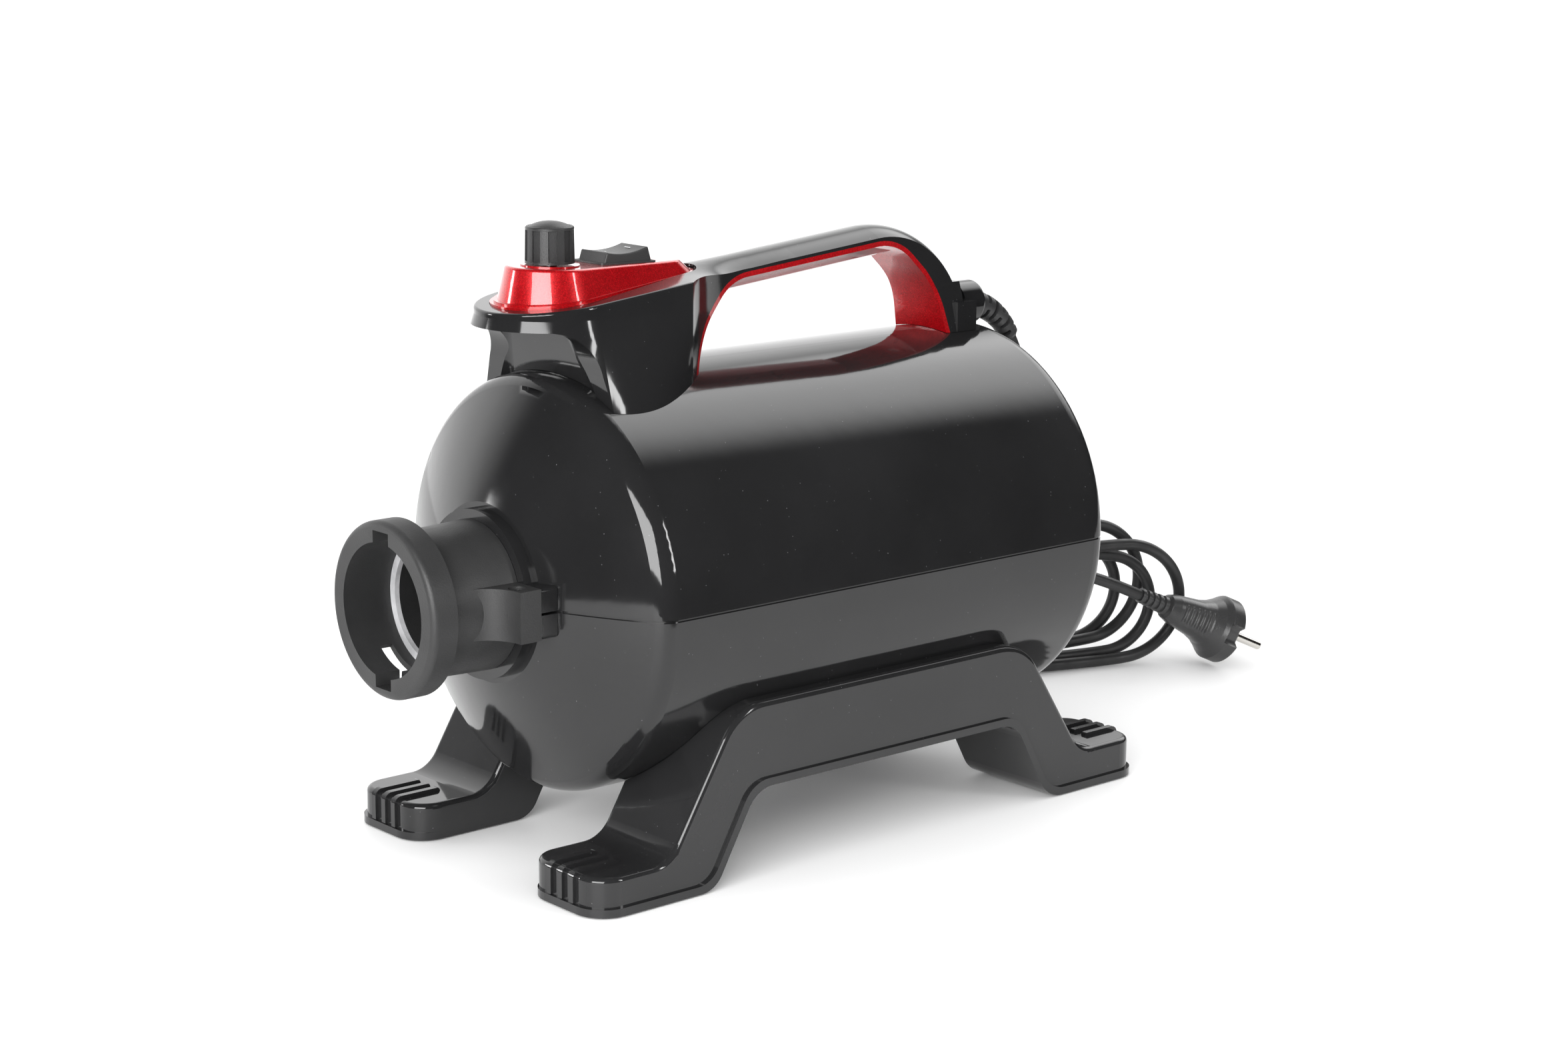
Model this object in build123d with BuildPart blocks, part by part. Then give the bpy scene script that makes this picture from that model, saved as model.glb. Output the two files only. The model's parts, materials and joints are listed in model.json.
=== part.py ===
from build123d import *
from math import acos, atan, cos, degrees, pi, radians, sin, tan
import os

# Pet dryer: a round blower tank on two leg rails, with a hose coupling at the front (-Y),
# a control pod and carrying handle on top, and the air intake with its filter at the back (+Y).
# Millimetres, +Z up, the origin on the floor under the middle of the dryer.

os.makedirs("parts", exist_ok=True)


def finish(builder, label):
    """Labels a finished piece and writes it under its own name."""
    builder.part.label = label
    export_step(builder.part, f"parts/{label}.step")


# ---------------------------------------------------------------- driving dimensions
# Tank
TANK_R = 96.0
AXIS_Z = 127.0
WALL = 3.0
FACE_Y, FACE_R = -139.4, 41.0
DOME_MID_Y, DOME_MID_R = -127.6, 68.4
SHOULDER_Y, SHOULDER_FILLET = -112.6, 11.0
REAR_START_Y, REAR_Y, REAR_FACE_R = 153.9, 169.0, 66.8
GROOVE = 1.2

# Hose coupling
LIP_Y, LIP_BACK_Y, COLLAR_BACK_Y = -194.6, -182.0, -145.4
LIP_R, NECK_R, BORE_R, SLOT_R, SLOT_W = 39.6, 32.8, 30.2, 35.1, 11.9
SEAL_Y, SEAL_REAR_Y, SEAL_R, DUCT_R = -170.0, -167.6, 31.0, 26.6
BOSS_X, BOSS_FRONT_Y, BOSS_REAR_Y, BOSS_H = 49.5, -161.5, -145.4, 23.0
BOSS_SCREW_X, BOSS_SCREW_Y = 41.5, -152.5

# Leg rails
RAIL_X, RAIL_IN, RAIL_FRONT, RAIL_REAR = 95.5, 42.3, -151.1, 194.6
BRIM, BRIM_H = 1.6, 3.6
PAD_LIFT = 0.8

# Control pod and handle
KNOB_Y = -102.4
POD_R, POD_REAR_Y = 34.0, -48.0
VISOR_Z = 245.2
HANDLE_W, CROWN = 15.0, 4.7
BEND_Y, BEND_R = 88.5, 57.0
BAR_SLOPE = 0.0994
BAR_ANGLE = degrees(atan(BAR_SLOPE))
CREST_Z = 267.46  # crown line of the bar, continued to y = 0
LINER = 2.4
EXIT_BLOCK_W, EXIT_BLOCK_FRONT_Y, EXIT_BLOCK_REAR_Y, EXIT_BLOCK_Z = 18.5, 134.0, 147.0, 236.0

# Air intake
INTAKE_R, COVER_R, COVER_REAR_Y = 58.0, 70.0, 186.0
SPIGOT_R, LUG_R, LUG_ARC, LUG_ANGLES, COVER_TWIST = 57.6, 62.0, 14.0, (90, 210, 330), 30.0

# Screws that join the shells, the rails and the pod: x and y of each, mirrored to the other side
SHELL_SCREWS = ((80.0, -24.0), (80.0, 53.0))
RAIL_SCREWS = ((69.0, -12.0), (69.0, 42.0))
POD_SCREWS = ((35.0, -70.0), (10.0, 141.0))
SHELL_SEAT_Z, RAIL_BOSS_Z, POD_HEAD_Z = 115.0, 72.0, (207.0, 213.0)
SHELL_SCREW_R, RAIL_SCREW_R, POD_SCREW_R, SHELL_HEAD_R = 1.6, 2.0, 1.6, 3.4

# Motor
SHAFT_R, FAN_R = 4.0, 69.0

# Lead
CORD_R = 3.3

RUN = 0.03  # running clearance of a shaft in its bearing, on the radius
FIT_GAP = 0.15  # gap of a curved face from the curved face that it lies on

# The tank's half section lies in a plane whose X runs along +Y and whose Y is the radius.
TANK_PLANE = Plane(origin=(0, 0, AXIS_Z), x_dir=(0, 1, 0), z_dir=(1, 0, 0))
TANK_AXIS = Axis((0, 0, AXIS_Z), (0, 1, 0))


def turned(points, label):
    """A piece turned about the tank's axis from its half section, a closed list of (y, r)."""
    with BuildPart() as piece:
        with BuildSketch(TANK_PLANE):
            with BuildLine():
                Polyline(*points, close=True)
            make_face()
        revolve(axis=TANK_AXIS)
    finish(piece, label)
    return piece


def tube_section(y0, y1, r_in, r_out):
    """The closed half section of a plain sleeve."""
    return [(y0, r_in), (y1, r_in), (y1, r_out), (y0, r_out)]



def ring_plane(y):
    """Plane across the tank's axis at y, facing the front."""
    return Plane(origin=(0, y, AXIS_Z), x_dir=(1, 0, 0), z_dir=(0, -1, 0))


def ring_sector(r_in, r_out, middle, arc):
    """Sector of a ring about the tank's axis, its middle at an angle from +X towards +Z."""
    with BuildSketch() as sector:
        with BuildLine():
            inner = CenterArc((0, 0), r_in, middle - arc / 2, arc)
            outer = CenterArc((0, 0), r_out, middle - arc / 2, arc)
            Line(inner @ 0, outer @ 0)
            Line(inner @ 1, outer @ 1)
        make_face()
    return sector.sketch


def both_sides(points):
    """The points and their mirror images across the middle plane."""
    return [(side * x, y) for x, y in points for side in (-1, 1)]


# ---------------------------------------------------------------- tank body
def tank_solid(inset):
    """The tank's outer form, with its surface moved inwards by inset."""
    radius = TANK_R - inset
    slope_in = 0.8 * inset
    with BuildPart() as tank:
        with BuildSketch(TANK_PLANE):
            with BuildLine():
                dome = ThreePointArc(
                    (FACE_Y + inset, FACE_R - 0.4 * inset),
                    (DOME_MID_Y + 0.9 * inset, DOME_MID_R - 0.45 * inset),
                    (SHOULDER_Y + slope_in, radius),
                )
                side = Line(dome @ 1, (REAR_START_Y, radius))
                rear = Spline(
                    side @ 1,
                    (REAR_START_Y + 0.71 * (REAR_Y - REAR_START_Y - inset), radius - 8.6),
                    (REAR_Y - inset, REAR_FACE_R),
                    tangents=((1, 0), (0, -1)),
                )
                Polyline(rear @ 1, (REAR_Y - inset, 0), (FACE_Y + inset, 0), dome @ 0)
            make_face()
        revolve(axis=TANK_AXIS)
        shoulder = tank.edges().filter_by(GeomType.CIRCLE).sort_by(
            lambda edge: abs(edge.center().Y - SHOULDER_Y - slope_in)
        )[0]
        fillet(shoulder, SHOULDER_FILLET - inset)
    return tank.part


TANK = tank_solid(0)
TANK_CLEAR = tank_solid(-FIT_GAP)
TANK_INNER = tank_solid(WALL)

# The neck has a flat lug at each side, which the coupling's bosses meet.
NECK_FLANGE_R = 38.5
neck_root = Plane.XZ.offset(-FACE_Y - 3)
neck_length = FACE_Y + 3 - COLLAR_BACK_Y - 0.2

with BuildPart() as parting_groove:
    with BuildSketch(Plane.XY.offset(AXIS_Z - GROOVE / 2)):
        Rectangle(300, 500)
    extrude(amount=GROOVE)
    add(tank_solid(1.0), mode=Mode.SUBTRACT)

# Screw bosses inside the shell
with BuildPart() as bosses:
    with BuildSketch(Plane.XY.offset(70)):
        for x, y in both_sides(SHELL_SCREWS):
            with Locations((x, y)):
                Circle(6.2)
            with Locations((x * 1.07, y)):
                Rectangle(14, 5)
    extrude(amount=70)
    with BuildSketch(Plane.XY.offset(50)):
        with Locations(both_sides(RAIL_SCREWS)):
            Circle(5.0)
    extrude(amount=RAIL_BOSS_Z + 2 - 50)
    add(TANK, mode=Mode.INTERSECT)

with BuildPart() as shell:
    add(TANK)
    with BuildSketch(neck_root):
        with Locations((0, AXIS_Z)):
            Circle(NECK_FLANGE_R)
        for side in (-1, 1):
            with Locations((side * (BOSS_X - 8), AXIS_Z)):
                RectangleRounded(15, BOSS_H, 2)
    extrude(amount=neck_length)
    add(TANK_INNER, mode=Mode.SUBTRACT)
    with BuildSketch(neck_root.offset(-8)):
        with Locations((0, AXIS_Z)):
            Circle(DUCT_R + 2.2)
    extrude(amount=neck_length + 20, mode=Mode.SUBTRACT)
    with BuildSketch(Plane.XZ.offset(-REAR_Y - 1)):
        with Locations((0, AXIS_Z)):
            Circle(INTAKE_R)
    extrude(amount=WALL + 4, mode=Mode.SUBTRACT)
    with BuildSketch(ring_plane(REAR_Y - WALL - 1)):
        for angle in LUG_ANGLES:
            add(ring_sector(INTAKE_R - 2, LUG_R + 0.6, angle - COVER_TWIST, LUG_ARC + 2))
    extrude(amount=-WALL - 4, mode=Mode.SUBTRACT)
    add(parting_groove.part, mode=Mode.SUBTRACT)
    add(bosses.part)
    with BuildSketch(Plane.XY.offset(60)):
        with Locations(both_sides(SHELL_SCREWS)):
            Circle(SHELL_HEAD_R + 0.3)
    extrude(amount=SHELL_SEAT_Z - 60, mode=Mode.SUBTRACT)
    with BuildSketch(Plane.XY.offset(100)):
        with Locations(both_sides(SHELL_SCREWS)):
            Circle(SHELL_SCREW_R)
    extrude(amount=37, mode=Mode.SUBTRACT)
    with BuildSketch(Plane.XY.offset(40)):
        with Locations(both_sides(RAIL_SCREWS)):
            Circle(RAIL_SCREW_R)
    extrude(amount=RAIL_BOSS_Z - 40, mode=Mode.SUBTRACT)
    with BuildSketch(Plane.XY.offset(205)):
        with Locations(both_sides(POD_SCREWS)):
            Circle(POD_SCREW_R)
        with Locations((0, -75)):
            Circle(8)
    extrude(amount=30, mode=Mode.SUBTRACT)

with BuildPart() as upper_shell:
    add(shell.part)
    split(bisect_by=Plane.XY.offset(AXIS_Z), keep=Keep.TOP)
finish(upper_shell, "upper_shell")

with BuildPart() as lower_shell:
    add(shell.part)
    split(bisect_by=Plane.XY.offset(AXIS_Z), keep=Keep.BOTTOM)
finish(lower_shell, "lower_shell")

with BuildPart() as shell_screws:
    with BuildSketch(Plane.XY.offset(SHELL_SEAT_Z - 2.6)):
        with Locations(both_sides(SHELL_SCREWS)):
            Circle(SHELL_HEAD_R)
            RectangleRounded(3.6, 0.9, 0.3, mode=Mode.SUBTRACT)
    extrude(amount=2.6)
    with BuildSketch(Plane.XY.offset(SHELL_SEAT_Z - 1)):
        with Locations(both_sides(SHELL_SCREWS)):
            Circle(SHELL_SCREW_R)
    extrude(amount=21)
finish(shell_screws, "shell_screws")

# ---------------------------------------------------------------- hose coupling
front_face = Plane.XZ.offset(-LIP_Y)
with BuildPart() as hose_collar:
    with BuildSketch(TANK_PLANE):
        with BuildLine():
            Polyline(
                (LIP_Y, BORE_R), (LIP_Y, LIP_R), (LIP_BACK_Y, LIP_R), (LIP_BACK_Y, NECK_R),
                (COLLAR_BACK_Y, NECK_R + 1.2), (COLLAR_BACK_Y, DUCT_R + 2.4), (SEAL_REAR_Y, DUCT_R + 2.4),
                (SEAL_REAR_Y, BORE_R), close=True,
            )
        make_face()
    revolve(axis=TANK_AXIS)
    # Bosses for the clamping screws, hollowed at the front
    with BuildSketch(Plane.XY.offset(AXIS_Z - BOSS_H / 2)):
        for side in (-1, 1):
            with BuildLine():
                hollow = ThreePointArc(
                    (side * BOSS_X, BOSS_FRONT_Y + 5), (side * 39, BOSS_FRONT_Y + 2.5),
                    (side * (NECK_R - 1.5), BOSS_FRONT_Y - 7),
                )
                Polyline(
                    hollow @ 1, (side * (NECK_R - 1.5), BOSS_REAR_Y), (side * BOSS_X, BOSS_REAR_Y), hollow @ 0
                )
            make_face()
    extrude(amount=BOSS_H)
    with BuildSketch(front_face.offset(-30)):
        with Locations((0, AXIS_Z)):
            Circle(BORE_R)
    extrude(amount=60, mode=Mode.SUBTRACT)
    with BuildSketch(TANK_PLANE):
        with BuildLine():
            Polyline(*tube_section(SEAL_REAR_Y, COLLAR_BACK_Y, DUCT_R + 2.4, NECK_R - 0.5), close=True)
        make_face()
    revolve(axis=TANK_AXIS)
    # Groove that the seal ring snaps into, at the bore's end
    with BuildSketch(TANK_PLANE):
        with BuildLine():
            Polyline(*tube_section(SEAL_Y, SEAL_REAR_Y, BORE_R - 2, SEAL_R), close=True)
        make_face()
    revolve(axis=TANK_AXIS, mode=Mode.SUBTRACT)
    # Bayonet slots through the lip, and the latch window behind them
    with BuildSketch(front_face):
        with Locations((0, AXIS_Z)):
            Rectangle(SLOT_W, 2 * SLOT_R)
    extrude(amount=-(LIP_BACK_Y - LIP_Y), mode=Mode.SUBTRACT)
    with BuildSketch(front_face.offset(LIP_Y - LIP_BACK_Y)):
        with BuildLine():
            window = CenterArc((0, AXIS_Z), NECK_R + 4, 226, 36)
            Polyline(window @ 1, (0, AXIS_Z), window @ 0)
        make_face()
    extrude(amount=-6.5, mode=Mode.SUBTRACT)
    lip_rim = hose_collar.edges().filter_by(GeomType.CIRCLE).filter_by(
        lambda edge: abs(edge.radius - LIP_R) < 0.1
    )
    fillet(lip_rim.sort_by(Axis.Y)[0], 3.0)
    with Locations((BOSS_SCREW_X, BOSS_SCREW_Y, AXIS_Z), (-BOSS_SCREW_X, BOSS_SCREW_Y, AXIS_Z)):
        Cylinder(2.2, BOSS_H + 2, mode=Mode.SUBTRACT)
        with Locations((0, 0, BOSS_H / 2 - 3.5)):
            Cylinder(3.9, 8, mode=Mode.SUBTRACT)
finish(hose_collar, "hose_collar")

with BuildPart() as collar_screws:
    for side in (-1, 1):
        with Locations((side * BOSS_SCREW_X, BOSS_SCREW_Y, AXIS_Z)):
            with Locations((0, 0, BOSS_H / 2 - 5.8)):
                Cylinder(3.6, 3.2)
            Cylinder(2.0, BOSS_H - 2)
    heads = collar_screws.faces().filter_by(Axis.Z).sort_by(Axis.Z)[-2:]
    for head in heads:
        with BuildSketch(Plane(head)):
            Rectangle(4.6, 0.9)
            Rectangle(0.9, 4.6)
        extrude(amount=-1.2, mode=Mode.SUBTRACT)
finish(collar_screws, "collar_screws")

turned(tube_section(SEAL_Y, SEAL_REAR_Y, DUCT_R, SEAL_R - 0.1), "outlet_seal")

# Outlet duct, from the motor chamber to the coupling
DUCT_REAR_Y = -104.0
turned(
    [
        (SEAL_REAR_Y, DUCT_R), (FACE_Y + 6, DUCT_R), (-122, 34), (DUCT_REAR_Y, 56),
        (DUCT_REAR_Y, 58.5), (-123, 36), (FACE_Y + 5, DUCT_R + 2.1), (SEAL_REAR_Y, DUCT_R + 2.1),
    ],
    "outlet_duct",
)

# ---------------------------------------------------------------- leg rails
FOOT_Z, ARCH_Z, RAIL_TOP_Z = 18.0, 43.0, 82.0
FRONT_SLOPE_Y, FRONT_CREST_Y, REAR_CREST_Y, REAR_SLOPE_Y = -109.5, -71.0, 110.0, 151.0
ARCH_FRONT_Y, ARCH_FRONT_TOP_Y, ARCH_REAR_TOP_Y, ARCH_REAR_Y = -85.3, -61.4, 103.0, 126.3
PLAN_R, TOP_EDGE_R = 15.0, 2.5
TOE_X, TOE_W, TOE_H = (60.5, 68.5, 76.5), 3.0, 2.0
PAD_X, PAD_T = 69.0, 2.4
PADS = ((-118.0, 42.0), (160.0, 46.0))  # middle and length of each pad


def rail_outline(front, rear, raised):
    """Side outline of a rail between two ends, with its whole underside raised by some height."""
    shift = 0.58 * raised
    with BuildSketch(Plane.YZ) as outline:
        with BuildLine():
            FilletPolyline(
                (front, PAD_LIFT + raised), (front, FOOT_Z), (FRONT_SLOPE_Y, FOOT_Z),
                (FRONT_CREST_Y, RAIL_TOP_Z),
                (REAR_CREST_Y, RAIL_TOP_Z), (REAR_SLOPE_Y, FOOT_Z + 2), (rear, FOOT_Z + 2),
                (rear, PAD_LIFT + raised), (ARCH_REAR_Y + shift, PAD_LIFT + raised),
                (ARCH_REAR_TOP_Y + shift, ARCH_Z + raised), (ARCH_FRONT_TOP_Y - shift, ARCH_Z + raised),
                (ARCH_FRONT_Y - shift, PAD_LIFT + raised),
                radius=[0, 0, 16, 27, 30, 18, 0, 0, 17, 16, 16, 13], close=True,
            )
        make_face()
    return outline.sketch


def rail_plan(inset):
    """Plan outline of a rail, moved inwards by inset on the three outer sides."""
    middle_y = (RAIL_FRONT + RAIL_REAR) / 2
    with BuildSketch() as plan:
        with Locations(((RAIL_X - inset + RAIL_IN) / 2, middle_y)):
            RectangleRounded(RAIL_X - inset - RAIL_IN, RAIL_REAR - RAIL_FRONT - 2 * inset, PLAN_R - inset)
    return plan.sketch


with BuildPart() as rail:
    extrude(rail_outline(RAIL_FRONT, RAIL_REAR, 0), amount=120)
    extrude(rail_plan(BRIM), amount=120, mode=Mode.INTERSECT)
    top_rim = [
        edge
        for face in rail.faces().filter_by(lambda face: face.normal_at().Z > 0.3)
        for edge in face.edges()
        if abs(edge.length - (RAIL_X - BRIM - RAIL_IN)) > 0.1
    ]
    fillet(top_rim, TOP_EDGE_R)
    # Toe ribs over the end of each foot
    for x in TOE_X:
        with BuildSketch(Plane.YZ.offset(x - TOE_W / 2)):
            for end, inner, top in ((RAIL_FRONT, -126.0, FOOT_Z), (RAIL_REAR, 172.0, FOOT_Z + 2)):
                inward = 1 if end < 0 else -1
                with BuildLine():
                    FilletPolyline(
                        (end, 5.0), (end, top + TOE_H - 0.4), (inner, top + TOE_H - 0.4),
                        (inner + inward * 2, top - 3),
                        (end + inward * 6, top - 3), (end + inward * 6, 5.0),
                        radius=[0, 4, 1.5, 0, 0, 0], close=True,
                    )
                make_face()
        extrude(amount=TOE_W)

# The brim follows the underside, all round the feet and along the arch.
with BuildPart() as brim:
    extrude(rail_outline(RAIL_FRONT, RAIL_REAR, 0), amount=120)
    extrude(rail_plan(0), amount=120, mode=Mode.INTERSECT)
    extrude(rail_outline(RAIL_FRONT - 5, RAIL_REAR + 5, BRIM_H), amount=120, mode=Mode.SUBTRACT)

with BuildPart() as right_rail:
    add(rail.part)
    add(brim.part)
    add(TANK_CLEAR, mode=Mode.SUBTRACT)
    for y, length in PADS:
        with BuildSketch(Plane.XY.offset(PAD_LIFT)):
            with Locations((PAD_X, y)):
                RectangleRounded(36, length, 6)
        extrude(amount=PAD_T - PAD_LIFT, mode=Mode.SUBTRACT)
    for x, y in RAIL_SCREWS:
        with Locations((x, y, ARCH_Z)):
            Cylinder(RAIL_SCREW_R + 0.2, 60, mode=Mode.SUBTRACT)
            Cylinder(5.0, 14, mode=Mode.SUBTRACT)
    for x, y in SHELL_SCREWS:
        with Locations((x, y, ARCH_Z)):
            Cylinder(SHELL_HEAD_R + 0.3, 120, mode=Mode.SUBTRACT)
right_rail.part.label = "right_leg_rail"
export_step(right_rail.part, "parts/right_leg_rail.step")

with BuildPart() as left_rail:
    add(mirror(right_rail.part, about=Plane.YZ, mode=Mode.PRIVATE))
finish(left_rail, "left_leg_rail")

with BuildPart() as foot_pads:
    for y, length in PADS:
        for side in (-1, 1):
            with BuildSketch():
                with Locations((side * PAD_X, y)):
                    RectangleRounded(35.4, length - 0.6, 5.7)
            extrude(amount=PAD_T)
finish(foot_pads, "foot_pads")

with BuildPart() as rail_screws:
    with BuildSketch(Plane.XY.offset(ARCH_Z + 3.8)):
        with Locations(both_sides(RAIL_SCREWS)):
            Circle(4.0)
            Rectangle(5.0, 1.0, mode=Mode.SUBTRACT)
    extrude(amount=3.2)
    with BuildSketch(Plane.XY.offset(ARCH_Z + 5.4)):
        with Locations(both_sides(RAIL_SCREWS)):
            Circle(RAIL_SCREW_R)
    extrude(amount=RAIL_BOSS_Z - ARCH_Z - 6.4)
finish(rail_screws, "rail_screws")

# ---------------------------------------------------------------- control pod and handle
POD_FRONT_TOP_Z, POD_TOP_SLOPE = 252.6, 0.1075
FLARE_Z, FLARE_TOP_Z = 205.0, 250.0
SEAT_SLOPE = 0.0783
SEAT_Z = 254.4 + SEAT_SLOPE * (KNOB_Y + 129.0)  # flange top at the knob's axis
FLANGE_R, FLANGE_REAR_Y, FLANGE_REAR_R, FLANGE_T = 26.8, -34.7, 13.0, 2.4

def crown_z(y):
    """Height of the crown line along the straight bar."""
    return CREST_Z + BAR_SLOPE * y


def pod_outline(grow):
    """Plan outline of the pod: a half round at the front and straight sides."""
    with BuildSketch() as outline:
        with BuildLine():
            front = CenterArc((0, KNOB_Y), POD_R + grow, 180, 180)
            Polyline(front @ 1, (POD_R + grow, POD_REAR_Y), (-POD_R - grow, POD_REAR_Y), front @ 0)
        make_face()
    return outline.sketch


with BuildPart() as pod:
    with BuildSketch(Plane.XY.offset(FLARE_Z)):
        with BuildLine():
            front = ThreePointArc((-49.5, -104), (0, -150), (49.5, -104))
            right = ThreePointArc(front @ 1, (48.8, -74), (POD_R, POD_REAR_Y))
            Line(right @ 1, (-POD_R, POD_REAR_Y))
            ThreePointArc((-POD_R, POD_REAR_Y), (-48.8, -74), (-49.5, -104))
        make_face()
    with BuildSketch(Plane.XY.offset(FLARE_TOP_Z)):
        add(pod_outline(0))
    loft()
    with BuildSketch(Plane.XY.offset(FLARE_TOP_Z)):
        add(pod_outline(0))
    extrude(amount=20)
    # Sloping top
    split(
        bisect_by=Plane(
            origin=(0, -136.4, POD_FRONT_TOP_Z), x_dir=(1, 0, 0), z_dir=(0, -POD_TOP_SLOPE, 1)
        ),
        keep=Keep.BOTTOM,
    )
    visor_edge = pod.edges().filter_by(
        lambda edge: (edge @ 0.5).Z > 252 and (edge @ 0.5).Y < POD_REAR_Y - 2
    )
    fillet(visor_edge, 1.2)
    # Arch under the visor, and the recess between the wings
    with BuildSketch(Plane.YZ.offset(-80)):
        with BuildLine():
            under = Line((-170, VISOR_Z), (-126, VISOR_Z))
            arch = ThreePointArc(under @ 1, (-111.5, 240), (-105.5, 226))
            Polyline(arch @ 1, (-103, 205), (-103, 190), (-170, 190), under @ 0)
        make_face()
    extrude(amount=160, mode=Mode.SUBTRACT)
    with BuildSketch(Plane.XY.offset(200)):
        with Locations((0, -126)):
            RectangleRounded(86, 60, 9)
    with BuildSketch(Plane.XY.offset(VISOR_Z - 1)):
        with Locations((0, -140)):
            RectangleRounded(58, 60, 9)
    loft(mode=Mode.SUBTRACT)


# Grip: the front leg narrows from the pod to the bar, which bends down to the tank at the rear.
def roof_section(plane, half, drop):
    """Section of the grip with its crown at the plane's origin: an arched top over straight sides."""
    with BuildSketch(plane) as section:
        with BuildLine():
            top = ThreePointArc((half, -drop), (0, 0), (-half, -drop))
            Polyline(top @ 1, (-half, -72), (half, -72), top @ 0)
        make_face()
    return section.sketch


def upright(y, z):
    """Upright plane across the grip."""
    return Plane(origin=(0, y, z), x_dir=(1, 0, 0), z_dir=(0, -1, 0))


def across_bar(y):
    """Plane square to the bar where its crown line passes y."""
    return Plane(
        origin=(0, y, crown_z(y)), x_dir=(1, 0, 0),
        z_dir=(0, -cos(radians(BAR_ANGLE)), -sin(radians(BAR_ANGLE))),
    )


BEND_START_Y = BEND_Y - BEND_R * sin(radians(BAR_ANGLE))
BEND_Z = crown_z(BEND_START_Y) - BEND_R * cos(radians(BAR_ANGLE))
LEG_END_Y = -2.0
BAR_JOIN_Y = 30.0
CROWN_CURVE_R = (HANDLE_W**2 + CROWN**2) / (2 * CROWN)
ROOF_W = HANDLE_W + 3  # the roof reaches past the sides, which the plan outline trims
ROOF_DROP = CROWN_CURVE_R - (CROWN_CURVE_R**2 - ROOF_W**2) ** 0.5


def pod_top_z(y):
    """Height of the pod's sloping top."""
    return POD_FRONT_TOP_Z + POD_TOP_SLOPE * (y + 136.4)


with BuildPart() as grip:
    for section in (
        roof_section(upright(POD_REAR_Y - 8, pod_top_z(POD_REAR_Y - 8)), 37.0, 0.02),
        roof_section(upright(POD_REAR_Y, pod_top_z(POD_REAR_Y)), 36.5, 0.02),
        roof_section(upright(-28.0, 264.6), 24.5, 2.8),
        roof_section(across_bar(LEG_END_Y), ROOF_W, ROOF_DROP),
        roof_section(across_bar(14.0), ROOF_W, ROOF_DROP),
        roof_section(across_bar(BAR_JOIN_Y), ROOF_W, ROOF_DROP),
    ):
        add(section)
    loft()
    with BuildSketch(Plane.XY.offset(185)):
        with BuildLine():
            left = ThreePointArc((-POD_R, POD_REAR_Y), (-21.5, -28), (-HANDLE_W, LEG_END_Y))
            right = ThreePointArc((HANDLE_W, LEG_END_Y), (21.5, -28), (POD_R, POD_REAR_Y))
            Polyline(left @ 1, (-HANDLE_W, 60), (HANDLE_W, 60), right @ 0)
            Line(right @ 1, left @ 0)
        make_face()
    extrude(amount=120, mode=Mode.INTERSECT)
    with BuildSketch(across_bar(BEND_START_Y)) as bar:
        with BuildLine():
            top = ThreePointArc((HANDLE_W, -CROWN), (0, 0), (-HANDLE_W, -CROWN))
            Polyline(top @ 1, (-HANDLE_W, -42), (HANDLE_W, -42), top @ 0)
        make_face()
    extrude(bar.sketch, amount=(BEND_START_Y - BAR_JOIN_Y) / cos(radians(BAR_ANGLE)))
    revolve(bar.sketch, axis=Axis((0, BEND_Y, BEND_Z), (-1, 0, 0)), revolution_arc=90 + BAR_ANGLE)
    # The rear foot spreads down to the tank, and carries the block of the cord's exit.
    for z, half in ((BEND_Z, 18.6), (246.0, HANDLE_W)):
        with BuildSketch(Plane.XY.offset(z)):
            with Locations((0, 126)):
                Rectangle(2 * half, 24)
    loft()
    with BuildSketch(Plane.XY.offset(BEND_Z - 8)):
        with Locations((0, (EXIT_BLOCK_FRONT_Y + EXIT_BLOCK_REAR_Y) / 2)):
            Rectangle(2 * EXIT_BLOCK_W, EXIT_BLOCK_REAR_Y - EXIT_BLOCK_FRONT_Y)
    extrude(amount=EXIT_BLOCK_Z - BEND_Z + 8)


def opening_outline(inset):
    """Side outline of the hand opening, moved inwards by inset."""
    with BuildSketch(Plane.YZ.offset(-60)) as outline:
        with BuildLine():
            FilletPolyline(
                (-43.5, 205), (-41, 233.5), (-11, 260.2), (96, 270.6), (123, 246), (133.5, 205),
                radius=[0, 45, 35, 30, 45, 0], close=True,
            )
        make_face()
        if inset:
            offset(amount=-inset, mode=Mode.REPLACE)
    return outline.sketch


# The liner bulges under the bar, where the fingers go.
BULGE = 3.0
BAR_DEPTH = 11.7  # from the crown line down to the liner's lower face
with BuildPart() as bulge:
    with BuildSketch(across_bar(90.0)):
        with BuildLine():
            lower = ThreePointArc((-HANDLE_W, -BAR_DEPTH), (0, -BAR_DEPTH - BULGE), (HANDLE_W, -BAR_DEPTH))
            Line(lower @ 1, lower @ 0)
        make_face()
    extrude(amount=118)
    extrude(opening_outline(LINER - 1), amount=120, mode=Mode.INTERSECT)

with BuildPart() as handle_liner:
    add(grip.part)
    extrude(opening_outline(0), amount=120, mode=Mode.INTERSECT)
    extrude(opening_outline(LINER), amount=120, mode=Mode.SUBTRACT)
    add(bulge.part)
    add(TANK_CLEAR, mode=Mode.SUBTRACT)
finish(handle_liner, "handle_liner")

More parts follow.
